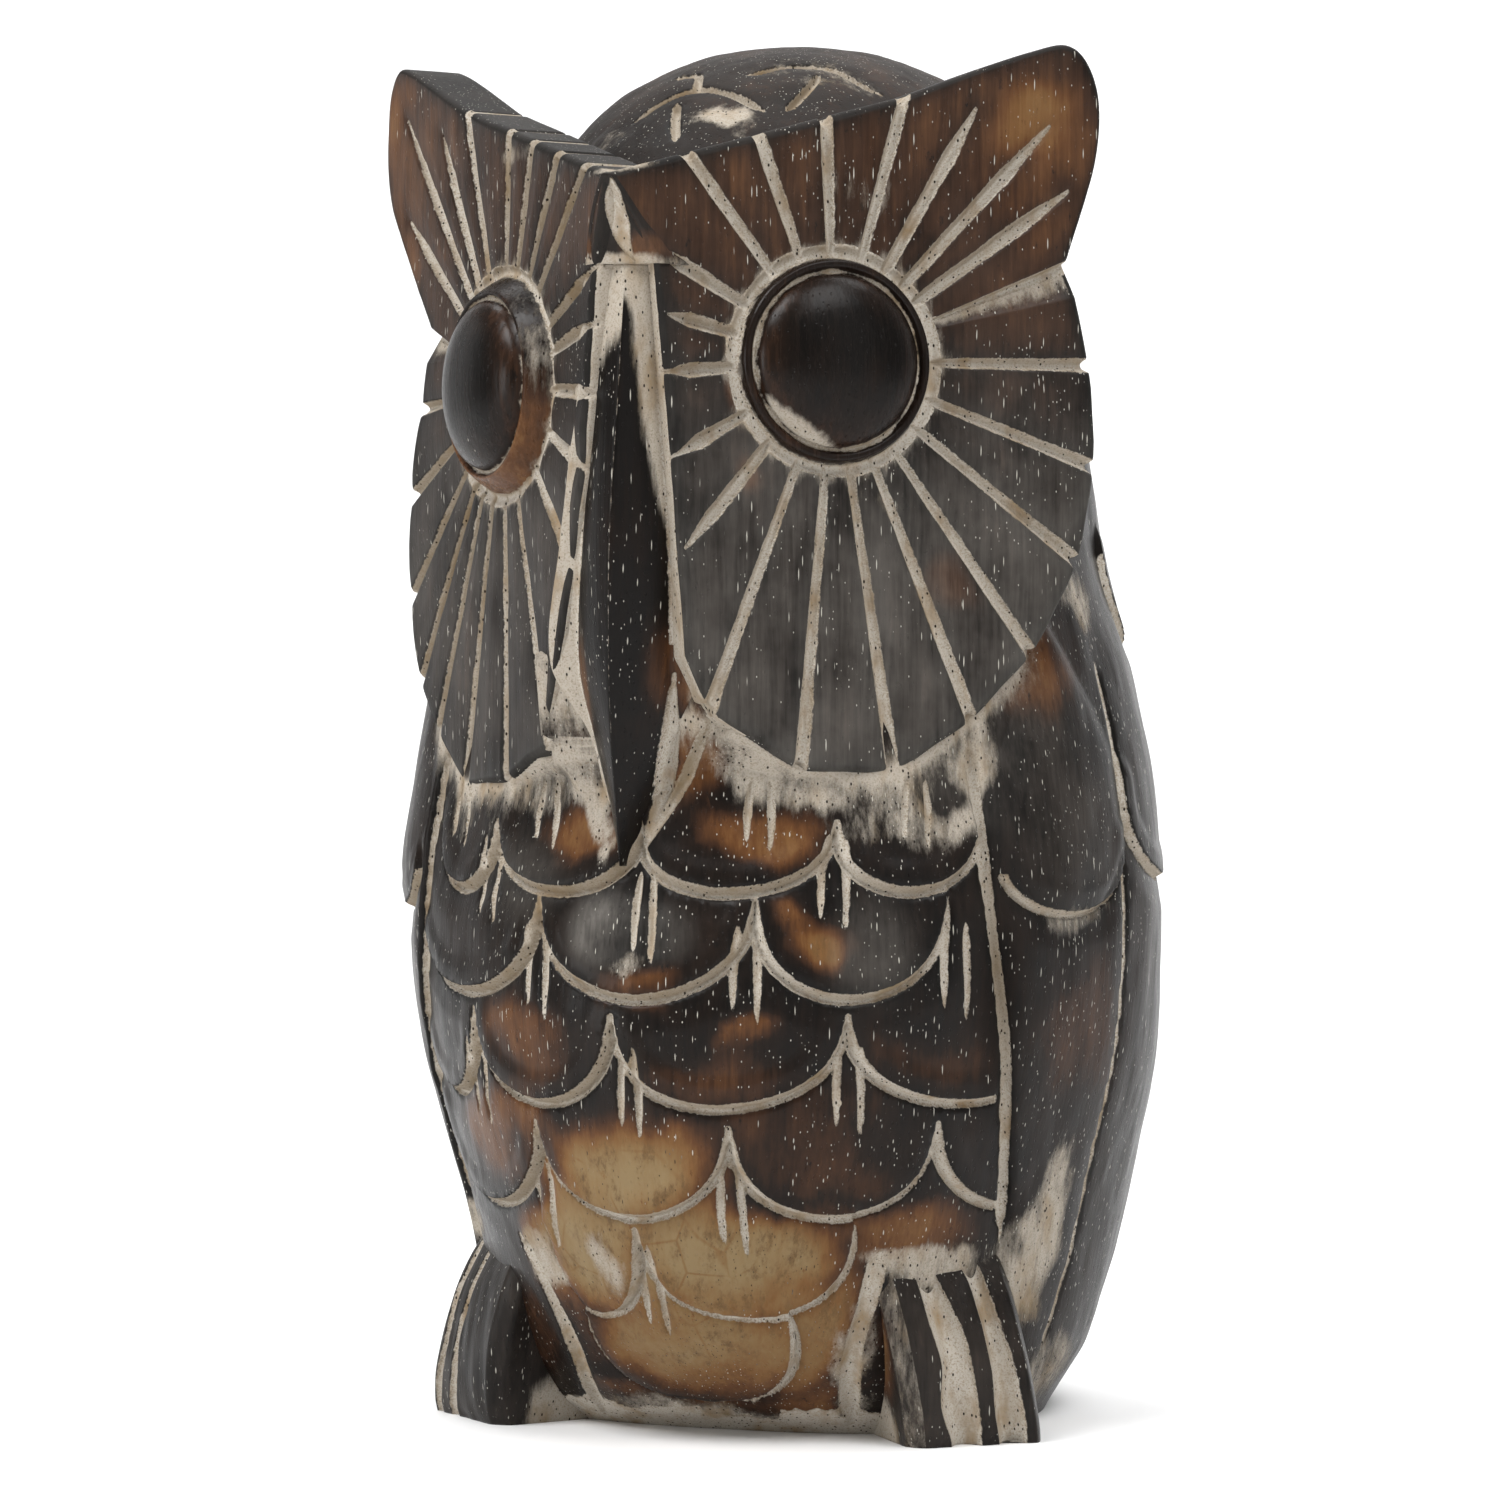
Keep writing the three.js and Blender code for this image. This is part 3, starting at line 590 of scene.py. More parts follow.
def plate_reach(face, angles):
    """Distance from the eye's centre to the plate's outline at each angle."""
    corners = plate_outline(face) - face["eye"]
    reach = np.zeros(len(angles))
    dx, dz = np.cos(angles), np.sin(angles)
    for a, b in zip(corners[:-1], corners[1:]):
        edge = b - a
        bottom = dx * edge[1] - dz * edge[0]
        safe = np.where(np.abs(bottom) < 1e-9, 1e-9, bottom)
        t = (a[0] * edge[1] - a[1] * edge[0]) / safe
        u = (a[0] * dz - a[1] * dx) / safe
        hit = (t > 0) & (u >= -1e-6) & (u <= 1 + 1e-6)
        reach = np.where(hit, np.maximum(reach, t), reach)
    return reach


def outward(face):
    return np.array([face["side"] * math.sin(TURN), -math.cos(TURN), 0])


def plate_place(face, s, z, out):
    """Point of the block's frame at s along the plate, z up and out from its front."""
    side = face["side"]
    x = side * (s * math.cos(TURN) + out * math.sin(TURN))
    y = RIDGE_FRONT + s * math.sin(TURN) - out * math.cos(TURN)
    return np.stack([x, y, z + 0 * x], axis=-1)


def plate_spot(face, points):
    """How far points of the block's frame are along, above and out from the eye's centre."""
    x = face["side"] * points[..., 0]
    y = points[..., 1] - RIDGE_FRONT
    s0, z0 = face["eye"]
    return (x * math.cos(TURN) + y * math.sin(TURN) - s0, points[..., 2] - z0,
            x * math.sin(TURN) - y * math.cos(TURN))


def cut_rays(face, S, Z, flat):
    """Rays and the slightly crowned fields between them: height, cut and softness."""
    start = face["flange"] + 1.5
    rays = [(angle, reach + 3, (0.72, 1.0, 1.2)) for angle, reach in face["disc"]]
    rays += [(angle, reach + 3, (0.8, 1.1, 1.0)) for angle, reach in face["top"]]
    rays += [(angle, reach, (0.9, 1.2, 0.3)) for angle, reach in face["free"]]
    height = 0.18 * noise(flat, (9, 9, 16), 21) + 0.07 * noise(flat, (2.4, 2.4, 8), 22)
    cut = np.full(S.shape, NO_CUT)
    soft, crown = np.zeros((2, *S.shape))
    for angle, end, sizes in rays:
        turn = math.radians(angle)
        lengths = np.array([[start], [0.3 * start + 0.7 * end], [end]])
        line = face["eye"] + lengths * (math.cos(turn), math.sin(turn))
        gap, size = path_distance(np.stack([S, Z], axis=-1), line, sizes)
        half = RAY_HALF * size * (1 + 0.12 * noise(flat, 6, 23))
        groove = RAY_DEPTH * size * hollow(gap, half)
        height = np.where(groove > 0, np.minimum(height, -groove), height)
        cut = np.maximum(cut, half - gap)
        soft = np.maximum(soft, np.exp(-(gap / 3) ** 2))
        crown = np.maximum(crown, np.exp(-gap / 4))
    return height - FIELD_RISE * crown, cut, soft


def cut_notch(face, S, Z, height, cut):
    """One wide cut beside the eye, deeper and wider towards its end, and the paint in it."""
    angle, end = face["notch"]
    turn = math.radians(angle)
    flange = face["flange"]
    across, rise = S - face["eye"][0], Z - face["eye"][1]
    along = across * math.cos(turn) + rise * math.sin(turn)
    below = across * math.sin(turn) - rise * math.cos(turn)
    u = np.clip((along - flange) / (end - flange), 0, 1.1)
    width = 1.5 + 6.5 * u
    slope = smoothstep(-0.4, 0.4, below) * np.clip(1 - below / width, 0, 1) * smoothstep(0, 0.15, u)
    cut = np.maximum(cut, np.where((below > -0.3) & (along > flange), width * 0.3 - below, NO_CUT))
    paint = np.clip(1.15 - below / width, 0, 1) * (below > -0.2) * (along > flange) * (u < 1.08)
    return height - (1.2 + 2.0 * u) * slope, cut, paint


def cut_eye(face, angles, R, flat, height, cut):
    """The ring cut round the eye, its skirt, the groove inside it and the dome."""
    flange, skirt = face["flange"], face["skirt"]
    gap = R
    if face["side"] < 0:
        gap = R - 2.2 * np.exp(-((angles + math.pi / 2) / 0.3) ** 2) * (R > DOME + 1)
    height = np.minimum(height, -1.5 * hollow(gap - flange - 1.3, 1.9))
    cut = np.maximum(cut, 1.45 + 0.35 * noise(flat, 7, 27) - np.abs(gap - flange - 1.75))
    raised = np.clip((flange + 0.5 - gap) / face["slope"], 0, 1) ** 0.8
    height = np.where(gap < flange + 0.5, -1.4 + (skirt + 1.4) * raised, height)
    height = np.where(gap < flange, height - 1.2 * hollow(gap - DOME - 0.4, 0.9), height)
    cut = np.maximum(cut, 0.42 + 0.35 * noise(flat, 4, 29) - np.abs(gap - DOME - 0.4))
    dome = skirt - 1 + DOME_HEIGHT * hollow(gap, DOME) ** 0.525
    height = np.where(gap < DOME, np.maximum(dome, skirt - 1.1), height)
    ring = 0.75 * np.exp(-np.abs(gap - flange - 2) / 2.2) * (gap > flange)
    return height, cut, ring


def plate_wall(face, angles, reach, rim, rim_cut):
    """Rows of points over the rounded edge, the wall and the back of a plate, and their cuts."""
    s0, z0 = face["eye"]
    over = np.zeros(PLATE_COLUMNS)
    for angle, _ in face["disc"] + face["top"]:
        swing = (angles - math.radians(angle) + np.pi) % (2 * np.pi) - np.pi
        over = np.maximum(over, hollow(swing * reach, NICK))
    nicks = np.where(over > 0, NICK * np.sqrt(over), NO_CUT)
    beside_beak = (angles > math.radians(146)) & (angles < math.radians(256))
    beside_beak &= z0 + reach * np.sin(angles) < BEAK_TOP
    marks = np.where(beside_beak, 0.9, nicks)
    wall = reach - 1.2 * over
    rows = []
    for k in range(1, 5):
        turn = math.pi / 2 * k / 4
        rows.append((wall - PLATE_EDGE * (1 - math.sin(turn)), rim - PLATE_EDGE * (1 - math.cos(turn)),
                     np.maximum(rim_cut, marks if k > 2 else nicks)))
    for depth in np.linspace(PLATE_EDGE + 1, THICK - 1, 13):
        rows.append((wall, np.minimum(-depth, rim - PLATE_EDGE), marks))
    for k in range(1, 4):
        turn = math.pi / 2 * k / 3
        rows.append((wall - PLATE_EDGE * (1 - math.cos(turn)), 1 - THICK - math.sin(turn),
                     marks - 1.5 * k))
    for part in (0.9, 0.75, 0.55, 0.35, 0.15):
        rows.append((reach * part, -THICK, NO_CUT + 0 * reach))
    points = np.stack([plate_place(face, s0 + length * np.cos(angles), z0 + length * np.sin(angles), out)
                       for length, out, _ in rows])
    points += (0.15 * noise(points, (5, 5, 9), 25))[..., None] * (0, 0.5, 0.2)
    return points, np.stack([cuts for _, _, cuts in rows])


def build_plate(face, name):
    s0, z0 = face["eye"]
    angles = np.linspace(0, 2 * np.pi, PLATE_COLUMNS, endpoint=False) + 1e-4
    reach = plate_reach(face, angles)
    eye_rows = np.append(np.linspace(0.4, DOME - 1.2, 20),
                         np.linspace(DOME - 0.8, face["flange"] + 3.8, 24))[:, None]
    inner = np.minimum(eye_rows, (reach - PLATE_EDGE) * (0.35 + 0.6 * eye_rows / eye_rows[-1]))
    outer = inner[-1] + (reach - PLATE_EDGE - inner[-1]) * np.linspace(0, 1, 64)[1:, None]
    R = np.vstack([inner, outer])
    S = s0 + R * np.cos(angles)
    Z = z0 + R * np.sin(angles)

    flat = plate_place(face, S, Z, 0)
    height, cut, soft = cut_rays(face, S, Z, flat)
    height, cut, notch_paint = cut_notch(face, S, Z, height, cut)
    height, cut, ring_paint = cut_eye(face, angles, R, flat, height, cut)
    front = plate_place(face, S, Z, height)
    wall, wall_cut = plate_wall(face, angles, reach, height[-1], cut[-1])
    hub = plate_place(face, s0, z0, np.array([face["skirt"] - 1 + DOME_HEIGHT, -THICK]))

    form = lofted(np.vstack([front, wall]), hub)
    points = form[0]
    # Painted shade on the cut walls that turn away from the light; the plate's edge, wall and back are
    # rougher.
    shade = groove_shade(front, outward(face), cut)
    heat, wash, haze = plate_colour(face, points, filled(reach - R, form))
    wash = np.maximum(wash, filled(np.maximum(1.1 * notch_paint, ring_paint), form))
    cut = np.maximum(filled(np.vstack([cut, wall_cut]), form, NO_CUT), leaf_cut(points)[0])
    return make_piece(name, form, face["side"] > 0, cut=cut, warm=heat, wash=wash, haze=haze,
                      near=filled(soft, form), shade=filled(shade, form, 0.45))


PLATE_HEAT = [
    (73, -20, 277, 11, 16, 13, 0.7), (84, -10, 268, 9, 16, 12, 0.5), (72, -20, 262, 16, 16, 10, 0.48),
    (-80, -10, 286, 9, 14, 22, 0.66), (-76, -16, 252, 6, 14, 26, 0.5), (58, -36, 180, 9, 10, 8, 0.42),
    (22, -66, 222, 4, 8, 9, 0.55), (24, -64, 205, 4, 8, 6, 0.5),
]
PLATE_WASH = [
    (44, -46, 262, 9, 10, 8, 0.35), (5, -82, 267, 8, 8, 2, 0.8), (-30, -50, 272, 9, 16, 5, 0.5),
    (50, -46, 200, 8, 9, 4, 0.4),
]


def plate_colour(face, points, rim_gap):
    """Warmth, paint, grey dust and painted sheen of a plate and its eye."""
    z = points[:, 2]
    moved = points + 5 * stir(points, (12, 12, 14), 61)
    right = face["side"] > 0
    heat = 0.16 + (0.24 if right else 0.2) * smoothstep(190, 275, z)
    heat = tint(moved, PLATE_HEAT, heat) - 0.34 * np.exp(-rim_gap / 2.2)
    wash = tint(moved, PLATE_WASH, np.where((rim_gap <= 0) & (z > 255), 0.14, 0))
    across, rise, _ = plate_spot(face, points)
    gap = np.hypot(across, rise)
    in_eye = gap < face["flange"] + 0.4
    # Grey dust and painted sheen on the lower plates; below zero the eye is polished, with fewer pores.
    haze = (1.05 if right else 0.62) - (0.88 if right else 0.42) * smoothstep(190, 240, z)
    haze = np.where(in_eye, -0.4, haze)
    heat = np.where(in_eye, 0.22 * smoothstep(0.5, 1, gap / DOME), heat)
    if right:
        down = -(0.55 * across + 0.83 * rise) / DOME
        wash = np.maximum(wash, 1.1 * smoothstep(0.74, 0.95, down) * (gap < DOME))
    else:
        skirt = smoothstep(DOME + 0.6, DOME + 1.6, gap) * (gap < face["flange"] + 3)
        low = smoothstep(8, -12, rise) * smoothstep(-20, -4, 12 - across)
        heat = heat + (0.17 + 0.38 * low - heat) * skirt
        wash = np.maximum(wash, skirt * (0.2 + 0.26 * np.exp(-((rise - 6) / 8) ** 2)))
    return heat, wash, haze


# Beak and brow
def build_beak():
    heights = np.append(spread((BEAK_Z[0], BEAK_TOP, 0.6)), BEAK_TOP)
    shape = {key: hermite(BEAK_Z, values, heights) for key, values in BEAK.items()}
    u = np.linspace(0, 1, 26)[:-1]
    rise = u + 0.1 * np.sin(np.pi * u)
    rows = []
    for z, x, ridge, half, floor, raised, wide, flare in zip(heights, *shape.values()):
        left = np.linspace([x - half - flare, raised + 0.6], [x - half, raised], 10)[:-1]
        flank = np.stack([x - half + half * u, raised + (ridge - raised) * rise], axis=-1)
        other = np.stack([x + wide - wide * u, floor + (ridge - floor) * rise], axis=-1)[::-1]
        right = np.linspace([x + wide, floor], [x + wide + flare, floor + 0.6], 10)[1:]
        ring = np.vstack([left, flank, [[x, ridge + 0.15]], other, right, THROAT])
        rows.append(level(ring, z))
    P = np.stack(rows)
    z = P[..., 2]
    off = P[..., 0] - shape["x"][:, None]
    beyond = -shape["half"][:, None] - off
    outside = np.where(off > 0, off - shape["wide"][:, None] - 20 * (z < 168), beyond)
    mark = np.maximum(np.where(outside > 0, 1.0, 0.25 + outside),
                      0.02 - 1.5 * np.abs(off) - 0.5 * (z < 150))
    mark = np.where(P[..., 1] < -45, mark, -3.0)
    gap, size = front_distance(P, SLOT)
    gap = np.where(P[..., 1] < -52, gap, 9)
    P[..., 1] += SLOT_HALF * size * hollow(gap, SLOT_HALF * size)
    cut = np.maximum(mark, SLOT_HALF * size - gap)
    P[..., 1] += 0.12 * noise(P, (3, 3, 12), 31)
    form = lofted(P)
    border = np.interp(z, [185, 197.5, 209.6, 221.7, 236, 243], [10.5, 7.6, 5.3, 3, 1.5, 0])
    right = 1.05 * smoothstep(-2, 1.2, off - border) * smoothstep(180, 200, z)
    left = 1.05 * smoothstep(-7, 5, z - 232 - off)
    heat = tint(form[0], [(7, -70, 164, 5, 10, 13, 0.38), (-11, -70, 160, 3, 10, 16, 0.45),
                          (13, -69, 158, 5, 8, 12, 0.5)], 0.02)
    wash = tint(form[0], [(12.5, -68, 158, 3.5, 6, 12, 0.62), (2, -80, 247, 9, 9, 9, 1.2)],
                filled(np.where(off > 0, right, left), form))
    # The paint on the beak's left flange is browner and the wood there rougher.
    return make_piece("owl_beak", form, cut=filled(cut, form, NO_CUT), warm=heat, wash=wash,
                      shade=filled(0.4 * (beyond > 0.2), form))


def leaf_cut(points):
    """The leaf cut at the top of the ridge: how far inside it a point lies, and its scaled distance."""
    leaf = catmull(BROW_LEAF, 8)
    sizes = np.interp(np.linspace(0, 5, len(leaf)), range(6), [0.12, 0.6, 0.9, 0.98, 0.6, 0.1])
    gap, size = path_distance(points[..., ::2], leaf, sizes)
    gap = np.where((points[..., 1] < -76) & (points[..., 2] > BEAK_TOP), gap, 9)
    return 2.25 * size - gap, gap / size


def build_brow():
    slope = math.tan(TURN)
    rows = []
    for u in np.linspace(0, 1, 40):
        z = BEAK_TOP + (RIDGE_TOP - BEAK_TOP) * u
        left = 5.2 * (1 - u ** 2.2) + 0.4
        right = 9.8 - 8.8 * u
        line = np.linspace([-left, RIDGE_FRONT - 0.3 + slope * left],
                           [right, RIDGE_FRONT - 0.3 + slope * right], 40)
        rows.append(level(np.vstack([line, THROAT]), z))
    P = np.stack(rows)
    cut, far = leaf_cut(P)
    P[..., 1] += 0.6 * hollow(far, 2.4)
    form = lofted(P)
    heat = tint(form[0], [(6, -79, 249, 6, 5, 4.5, 0.4), (-5, -80, 249, 3, 5, 4, 0.38)], 0.08)
    wash = tint(form[0], [(0, -79, 245.6, 14, 6, 3.4, 1.1)], 0.05)
    return make_piece("owl_brow", form, cut=filled(cut, form, NO_CUT), warm=heat, wash=wash, haze=0.2)


# Feet
def build_foot(side, name):
    heights = np.append(spread((0, 3, 0.5), (3, 43, 0.7)), 43)
    xs = np.array(FOOT["heights"], float)
    u = np.linspace(0, 1, 111)
    steps = np.linspace(0, 1, 27)[1:-1, None]
    spare = np.zeros(len(steps) + len(FOOT["root"]))
    deep, glow, facet_wash = (1.25, 0.72, 0.52) if side > 0 else (0.5, 0.2, 0.2)
    rows, cuts = [], []
    for z in heights:
        mix = z / xs[-1]
        start, end = np.array(FOOT["low"]) * (1 - mix) + np.array(FOOT["high"]) * mix
        bulge, gouge = (hermite(xs, FOOT[key], z) for key in ("bulge", "gouge"))
        gouges = []
        for k, (middles, halves) in enumerate(TOE_GOUGES[side]):
            places = np.array([(0, 9 * side, z), (5, 9 * side, z)]) + 20 * k
            sway, swell = noise(places, (1, 1, 9), 43)
            gouges.append((np.interp(z, GOUGE_Z, middles) + 0.016 * sway,
                           np.interp(z, GOUGE_Z, halves) * (1 + 0.16 * swell)))
        round_cut = np.maximum.reduce([hollow(u - middle, half) for middle, half in gouges])
        chamfer = np.clip(1 - u / 0.12, 0, 1) + np.clip((u - 0.93) / 0.07, 0, 1)
        out = bulge - deep * gouge * round_cut ** 0.8 - 3.2 * chamfer ** 1.5
        x = side * (start[0] + (end[0] - start[0]) * u + out * math.sin(FOOT["heading"]))
        y = start[1] + (end[1] - start[1]) * u - out * math.cos(FOOT["heading"])
        ring = level(np.column_stack([x, y]), z)
        root = level(np.array(FOOT["root"]) * (side, 1), z)
        rows.append(np.vstack([ring, root, root[1] + (ring[0] - root[1]) * steps]))
        width = math.hypot(*(end - start))
        inside = np.maximum.reduce([(half - np.abs(u - middle)) * width for middle, half in gouges])
        cuts.append(np.append(inside, spare + NO_CUT))
    P = np.stack(rows)
    P[..., :2] += (0.25 * noise(P, (3, 3, 9), 41))[..., None] * (side * 0.5, -0.8)
    form = lofted(P)
    heat = tint(form[0], [(side * 40, -22, 24, 9, 12, 17, glow)], 0.12)
    wash = tint(form[0], [(side * 50, -22, 42, 22, 20, 6, 1),
                          (side * 37, -20, 0, 8, 12, 12, 1.3)], 0.12)
    facet = filled(np.tile(np.append(u < 0.11, spare > 0), (len(heights), 1)), form) > 0
    wash = np.where(facet, facet_wash, wash)
    return make_piece(name, form, side < 0, cut=filled(np.stack(cuts), form, NO_CUT), warm=heat,
                      wash=wash, haze=0.3)


# Material
class Nodes:
    """Short way to add and link shader nodes."""

    def __init__(self, tree):
        self.tree = tree
        self.place = self.add("ShaderNodeTexCoord").outputs["Object"]

    def add(self, kind, inputs=(), **settings):
        node = self.tree.nodes.new(kind)
        for key, value in settings.items():
            setattr(node, key, value)
        self.feed(node, dict(inputs))
        return node

    def feed(self, node, inputs):
        """Link or set the inputs of a node, given by their names or numbers."""
        for key, value in inputs.items():
            if isinstance(value, bpy.types.NodeSocket):
                self.tree.links.new(value, node.inputs[key])
            else:
                node.inputs[key].default_value = value

    def math(self, operation, a, b):
        return self.add("ShaderNodeMath", {0: a, 1: b}, operation=operation).outputs[0]

    def plus(self, a, b):
        return self.math("ADD", a, b)

    def minus(self, a, b):
        return self.math("SUBTRACT", a, b)

    def times(self, a, b):
        return self.math("MULTIPLY", a, b)

    def most(self, a, b):
        return self.math("MAXIMUM", a, b)

    def fade(self, value, low, high):
        """Smooth step from 0 at the low limit to 1 at the high one."""
        return self.add("ShaderNodeMapRange", {"Value": value, "From Min": low, "From Max": high},
                        interpolation_type="SMOOTHSTEP").outputs[0]

    def fall(self, value, low, high):
        return self.minus(1.0, self.fade(value, low, high))

    def swayed(self, value, noise, strength):
        """The value moved up and down by a noise round 0.5."""
        return self.plus(value, self.times(self.minus(noise, 0.5), strength))

    def texture(self, kind, upright, inputs, **settings):
        """Texture whose features are longer upwards where the upright scale is below 1."""
        mapping = self.add("ShaderNodeMapping", {"Scale": (1, 1, upright), "Vector": self.place})
        return self.add(kind, {"Vector": mapping.outputs[0], **inputs}, **settings)

    def noise(self, upright, scale, detail=3.0, rough=0.55):
        inputs = {"Scale": scale, "Detail": detail, "Roughness": rough}
        return self.texture("ShaderNodeTexNoise", upright, inputs).outputs["Fac"]

    def cells(self, upright, scale):
        """Distance from the nearest cell's centre, and a random value of that cell."""
        node = self.texture("ShaderNodeTexVoronoi", upright, {"Scale": scale})
        part = self.add("ShaderNodeSeparateColor", {0: node.outputs["Color"]})
        return node.outputs["Distance"], part.outputs[0]

    def cracks(self, upright, scale):
        """Thin lines between uneven cells."""
        node = self.texture("ShaderNodeTexVoronoi", upright, {"Scale": scale},
                            feature="DISTANCE_TO_EDGE")
        return self.fall(node.outputs["Distance"], 0.0, 0.03)

    def ramp(self, value, stops):
        node = self.add("ShaderNodeValToRGB", {0: value})
        elements = node.color_ramp.elements
        for place, _ in stops[1:-1]:
            elements.new(place)
        for element, (_, colour) in zip(elements, stops):
            element.color = (*colour, 1)
        return node.outputs[0]

    def mix(self, share, a, b):
        a, b = ((*part, 1) if isinstance(part, tuple) else part for part in (a, b))
        return self.add("ShaderNodeMix", {0: share, 6: a, 7: b}, data_type="RGBA").outputs[2]

    def layer(self, name):
        return self.add("ShaderNodeAttribute", attribute_name=name).outputs["Fac"]


def new_material(name):
    material = bpy.data.materials.new(name)
    material.use_nodes = True
    return material, next(node for node in material.node_tree.nodes if node.type == "BSDF_PRINCIPLED")


def carved_wood():
    """Scorched wood with grain, pores, grey dust and painted sheen, and pale paint rubbed into the cuts
    and hollows.
    """
    material, shader = new_material("carved_wood")
    n = Nodes(material.node_tree)
    cut, heat, wash, near, haze, shade = (n.layer(name) for name in LAYERS)
    grain = n.noise(0.05, 900, 5, 0.65)
    band = n.noise(0.12, 150, 3)
    cloud = n.noise(0.8, 55, 4, 0.6)
    rag = n.noise(0.7, 900, 3, 0.6)
    streak = n.noise(0.22, 420, 7, 0.75)
    fine = n.noise(1, 2400, 3, 0.6)
    fleck = n.noise(0.45, 330, 5, 0.7)

    warmth = n.swayed(n.swayed(n.swayed(heat, cloud, 0.42), grain, 0.3), band, 0.22)
    warmth = n.minus(warmth, n.times(near, 0.1))
    warmth = n.minus(warmth, n.times(n.fade(fleck, 0.62, 0.75), 0.28))
    crack = n.times(n.cracks(0.7, 90), n.fade(cloud, 0.42, 0.6))
    crack = n.times(crack, n.fade(heat, 0.74, 0.9))
    warmth = n.minus(warmth, n.times(crack, 0.22))
    wood = n.ramp(warmth, [
        (0.0, (0.0052, 0.0042, 0.0036)), (0.2, (0.0115, 0.0068, 0.0047)),
        (0.36, (0.037, 0.0165, 0.0083)), (0.52, (0.092, 0.038, 0.0135)),
        (0.66, (0.152, 0.074, 0.025)), (0.8, (0.18, 0.107, 0.044)), (1.0, (0.215, 0.15, 0.074)),
    ])
    mottle = n.noise(0.45, 260, 6, 0.75)
    mottle = n.times(n.fade(mottle, 0.48, 0.72), n.fade(heat, 0.5, 0.8))
    wood = n.mix(mottle, wood, (0.1, 0.056, 0.022))
    # Grey dust and painted sheen turn the wood towards grey.
    dust_and_sheen_share = n.fade(n.plus(n.times(grain, 0.3), n.times(cloud, 0.7)), 0.25, 0.8)
    dust_and_sheen_share = n.times(haze, dust_and_sheen_share)
    wood = n.mix(n.times(n.most(dust_and_sheen_share, 0.0), 0.6), wood, (0.135, 0.125, 0.112))

    pore_gap, pore_pick = n.cells(0.11, 1300)
    crowd = n.noise(0.6, 70, 3, 0.6)
    pore_limit = n.minus(1.14, n.times(crowd, 0.95))
    pore_limit = n.plus(pore_limit, n.times(n.math("LESS_THAN", haze, 0.0), 0.4))
    pore_size = n.plus(0.08, n.times(n.fade(pore_pick, 0.3, 1.0), 0.14))
    pore = n.fall(pore_gap, n.times(pore_size, 0.5), pore_size)
    pore = n.times(pore, n.fade(pore_pick, pore_limit, n.plus(pore_limit, 0.03)))
    dot_gap, dot_pick = n.cells(0.55, 1500)
    dot = n.fall(dot_gap, 0.1, 0.24)
    dot = n.times(dot, n.fade(dot_pick, n.plus(pore_limit, 0.2), n.plus(pore_limit, 0.24)))
    pore = n.most(pore, dot)
    pale = n.fall(warmth, 0.62, 0.8)
    wood = n.mix(n.times(pore, 0.9), wood, n.mix(pale, (0.03, 0.015, 0.008), (0.46, 0.44, 0.385)))

    rim = n.swayed(cut, rag, 0.7)
    line = n.fade(rim, -0.08, 0.16)
    patch = n.plus(n.swayed(wash, streak, 1.3), n.times(near, 0.22))
    patch = n.fade(patch, 0.32, 1.0)
    paint = n.most(line, patch)

    pit_gap, pit_pick = n.cells(0.6, 1000)
    pit = n.fall(pit_gap, 0.16, 0.26)
    pit = n.times(pit, n.fade(pit_pick, 0.56, 0.6))
    stain = n.noise(0.5, 130, 4, 0.6)
    cream = n.mix(n.fade(stain, 0.46, 0.74), (0.475, 0.435, 0.375), (0.28, 0.2, 0.115))
    cream = n.mix(n.fade(fine, 0.46, 0.72), cream, (0.3, 0.25, 0.19))
    # Painted shade darkens the paint towards brown near the rims of cuts and on cut walls that turn away
    # from the light; brown stain and thin patches of paint darken it too.
    edge = n.fall(rim, 0.0, 0.75)
    edge = n.times(edge, n.fade(n.plus(fine, cloud), 0.75, 1.15))
    edge = n.times(edge, line)
    paint_shade_and_stain = n.most(n.times(edge, 0.75), n.times(shade, 0.7))
    paint_shade_and_stain = n.most(paint_shade_and_stain, n.times(n.minus(1.0, line), 0.3))
    cream = n.mix(paint_shade_and_stain, cream, (0.15, 0.11, 0.064))
    cream = n.mix(pit, cream, (0.02, 0.014, 0.01))

    gloss = 0.2
    for part, weight in ((grain, 0.24), (haze, 0.14), (shade, 0.7), (paint, 0.4)):
        gloss = n.plus(gloss, n.times(part, weight))
    relief = n.minus(n.times(grain, 0.35), n.times(pore, 0.5))
    relief = n.minus(relief, n.times(pit, 0.6))
    relief = n.plus(relief, n.times(n.times(fine, paint), 0.9))
    relief = n.plus(relief, n.times(paint, 0.4))
    bump = n.add("ShaderNodeBump", {"Strength": 0.55, "Distance": 0.0004, "Height": relief})
    n.feed(shader, {"Base Color": n.mix(paint, wood, cream), "Specular IOR Level": 0.12,
                    "Roughness": gloss, "Normal": bump.outputs[0]})
    return material


# Studio
def build_stage():
    """Pale sweep: a floor that curves up into a wall behind."""
    bend = [math.pi / 2 * k / 12 for k in range(13)]
    profile = [(1.2 + 0.8 * math.sin(turn), 0.8 * (1 - math.cos(turn))) for turn in bend]
    profile = [(-3, 0)] + profile + [(2, 4)]
    points = [(x, y, z) for y, z in profile for x in (-4, 4)]
    faces = [(2 * k, 2 * k + 1, 2 * k + 3, 2 * k + 2) for k in range(len(profile) - 1)]
    mesh = bpy.data.meshes.new("floor")
    mesh.from_pydata(points, [], faces)
    mesh.polygons.foreach_set("use_smooth", np.ones(len(faces), bool))
    material, shader = new_material("pale_floor")
    shader.inputs["Base Color"].default_value = (0.86, 0.86, 0.86, 1)
    shader.inputs["Roughness"].default_value = 0.7
    mesh.materials.append(material)
    in_scene("floor", mesh)


def area_light(name, place, target, size, power):
    light = bpy.data.lights.new(name, "AREA")
    light.shape = "RECTANGLE"
    light.size, light.size_y = size
    light.energy = power
    aim(in_scene(name, light), place, target)


def aim(thing, place, target):
    thing.location = place
    thing.rotation_euler = (Vector(target) - Vector(place)).to_track_quat("-Z", "Y").to_euler()


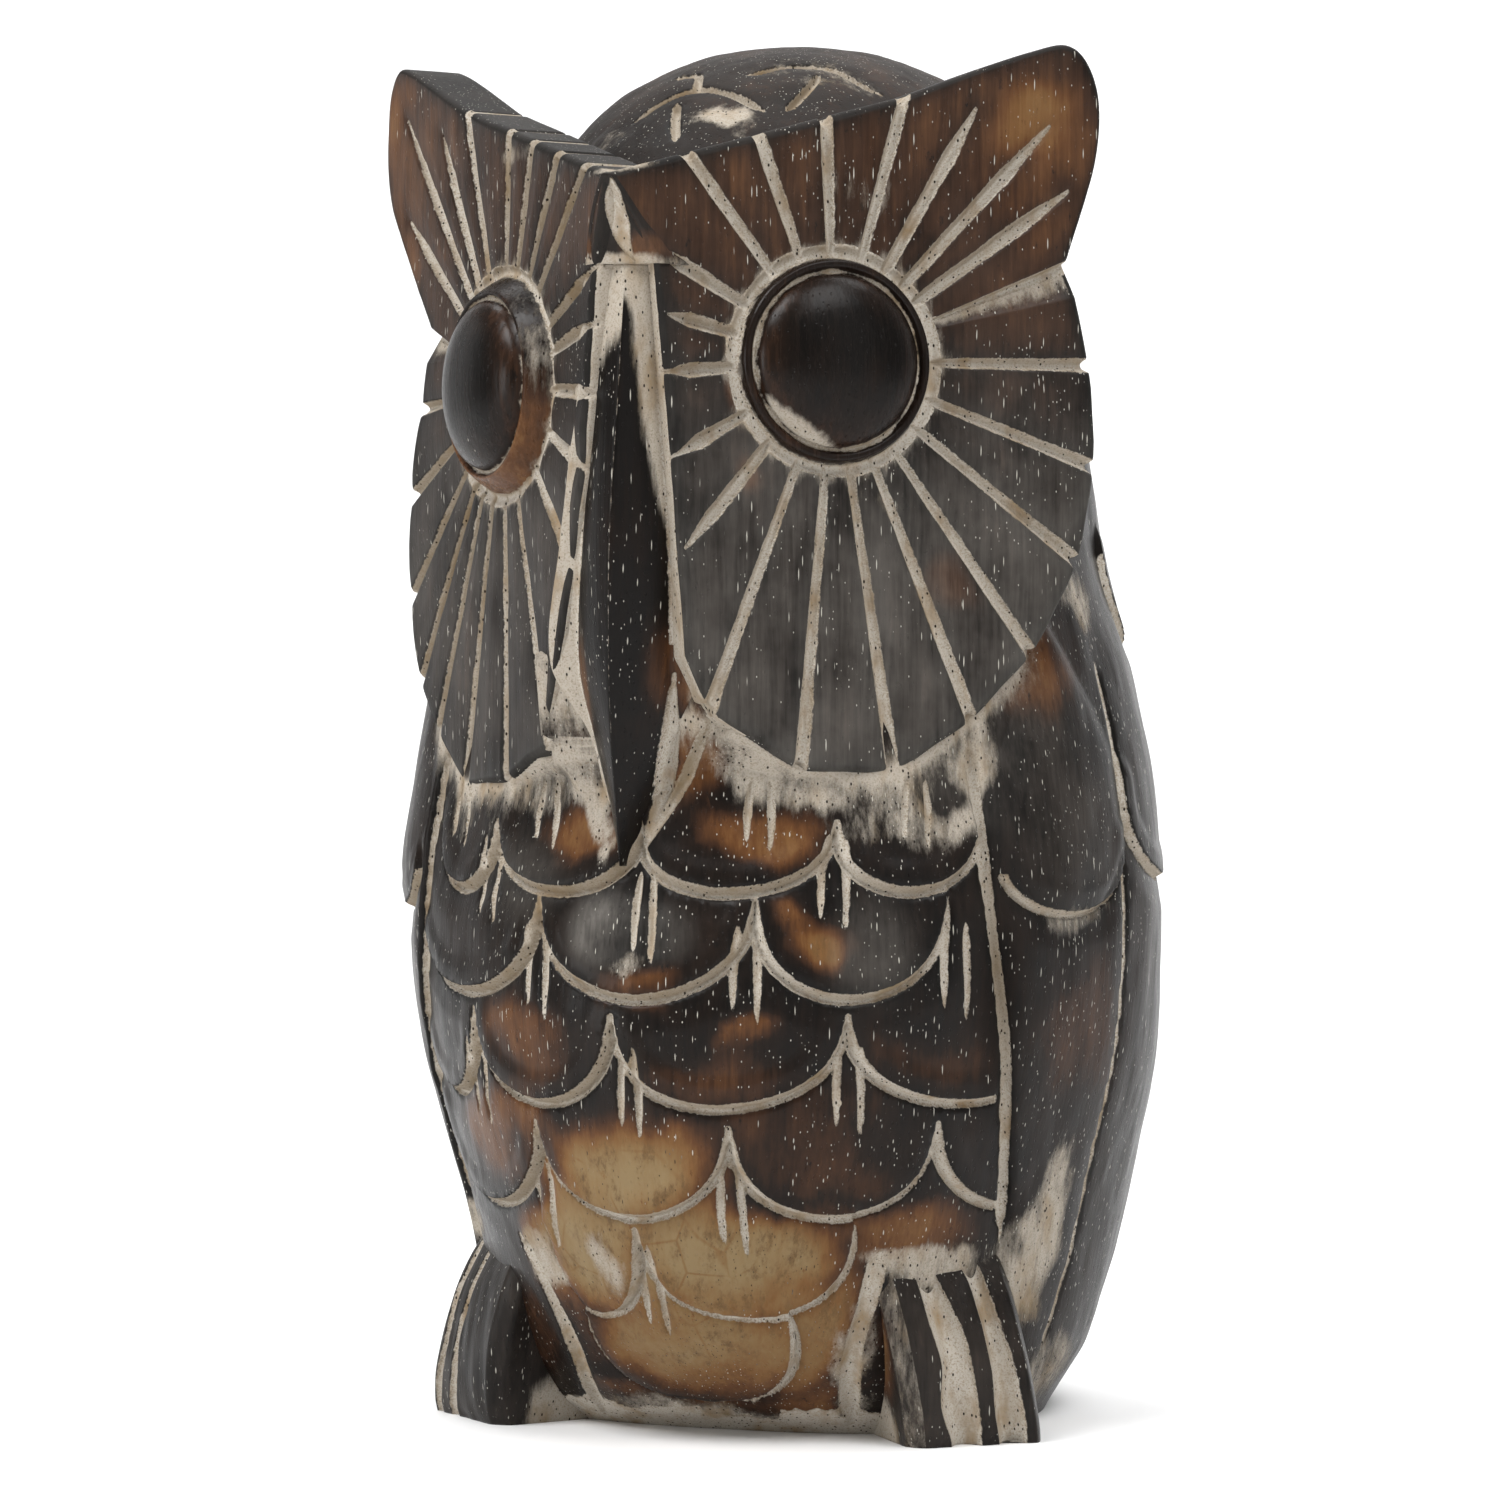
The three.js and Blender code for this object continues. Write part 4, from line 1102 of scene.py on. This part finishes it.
# The camera is level and 1 m from the owl. Its focal length is in pixels of the 1500 pixel image.
CAMERA_TURN = math.radians(20)
CAMERA_HEIGHT = 0.147
SENSOR = 36
FOCUS = 4545
IMAGE = 1500


def build_camera():
    data = bpy.data.cameras.new("camera")
    data.sensor_width = SENSOR
    data.lens = SENSOR * FOCUS / IMAGE
    camera = in_scene("camera", data)
    middle = -ORIGIN_Y * MM
    place = (math.sin(CAMERA_TURN), middle - math.cos(CAMERA_TURN), CAMERA_HEIGHT)
    aim(camera, place, (0, middle, CAMERA_HEIGHT))
    bpy.context.scene.camera = camera


def build_light():
    world = bpy.data.worlds.new("studio")
    bpy.context.scene.world = world
    world.use_nodes = True
    background = next(node for node in world.node_tree.nodes if node.type == "BACKGROUND")
    background.inputs["Color"].default_value = (1, 1, 1, 1)
    background.inputs["Strength"].default_value = 0.22
    area_light("right", around(66, 1.6, 0.4), (0, 0, 0.15), (0.8, 1.3), 2)
    area_light("left", around(-100, 1.6, 0.4), (0, 0, 0.15), (0.7, 1.3), 2)
    area_light("window", around(-40, 2.2, 0.25), (0, 0, 0.13), (0.25, 0.9), 12)
    area_light("high_left", around(-30, 1.3, 1.9), (0, 0, 0.12), (0.9, 0.9), 42)
    area_light("high_right", around(55, 1.3, 1.9), (0, 0, 0.12), (1.1, 1.1), 27)
    area_light("wall", (0, 0.9, 3.0), (0, 1.9, 0.8), (4.0, 1.0), 80)


def around(azimuth, distance, height):
    """Place on a level circle round the owl, the azimuth turning from the front to the right."""
    turn = math.radians(azimuth)
    return (distance * math.sin(turn), -distance * math.cos(turn), height)


build_stage()
build_camera()
build_light()
bpy.context.scene.view_settings.view_transform = "Standard"

wood = carved_wood()
owl = [
    build_body(),
    build_plate(RIGHT, "owl_face_right"),
    build_plate(LEFT, "owl_face_left"),
    build_beak(),
    build_brow(),
    build_foot(1, "owl_foot_right"),
    build_foot(-1, "owl_foot_left"),
]
for piece in owl:
    piece.data.materials.append(wood)
    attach(piece, "root")
    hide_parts("owl")
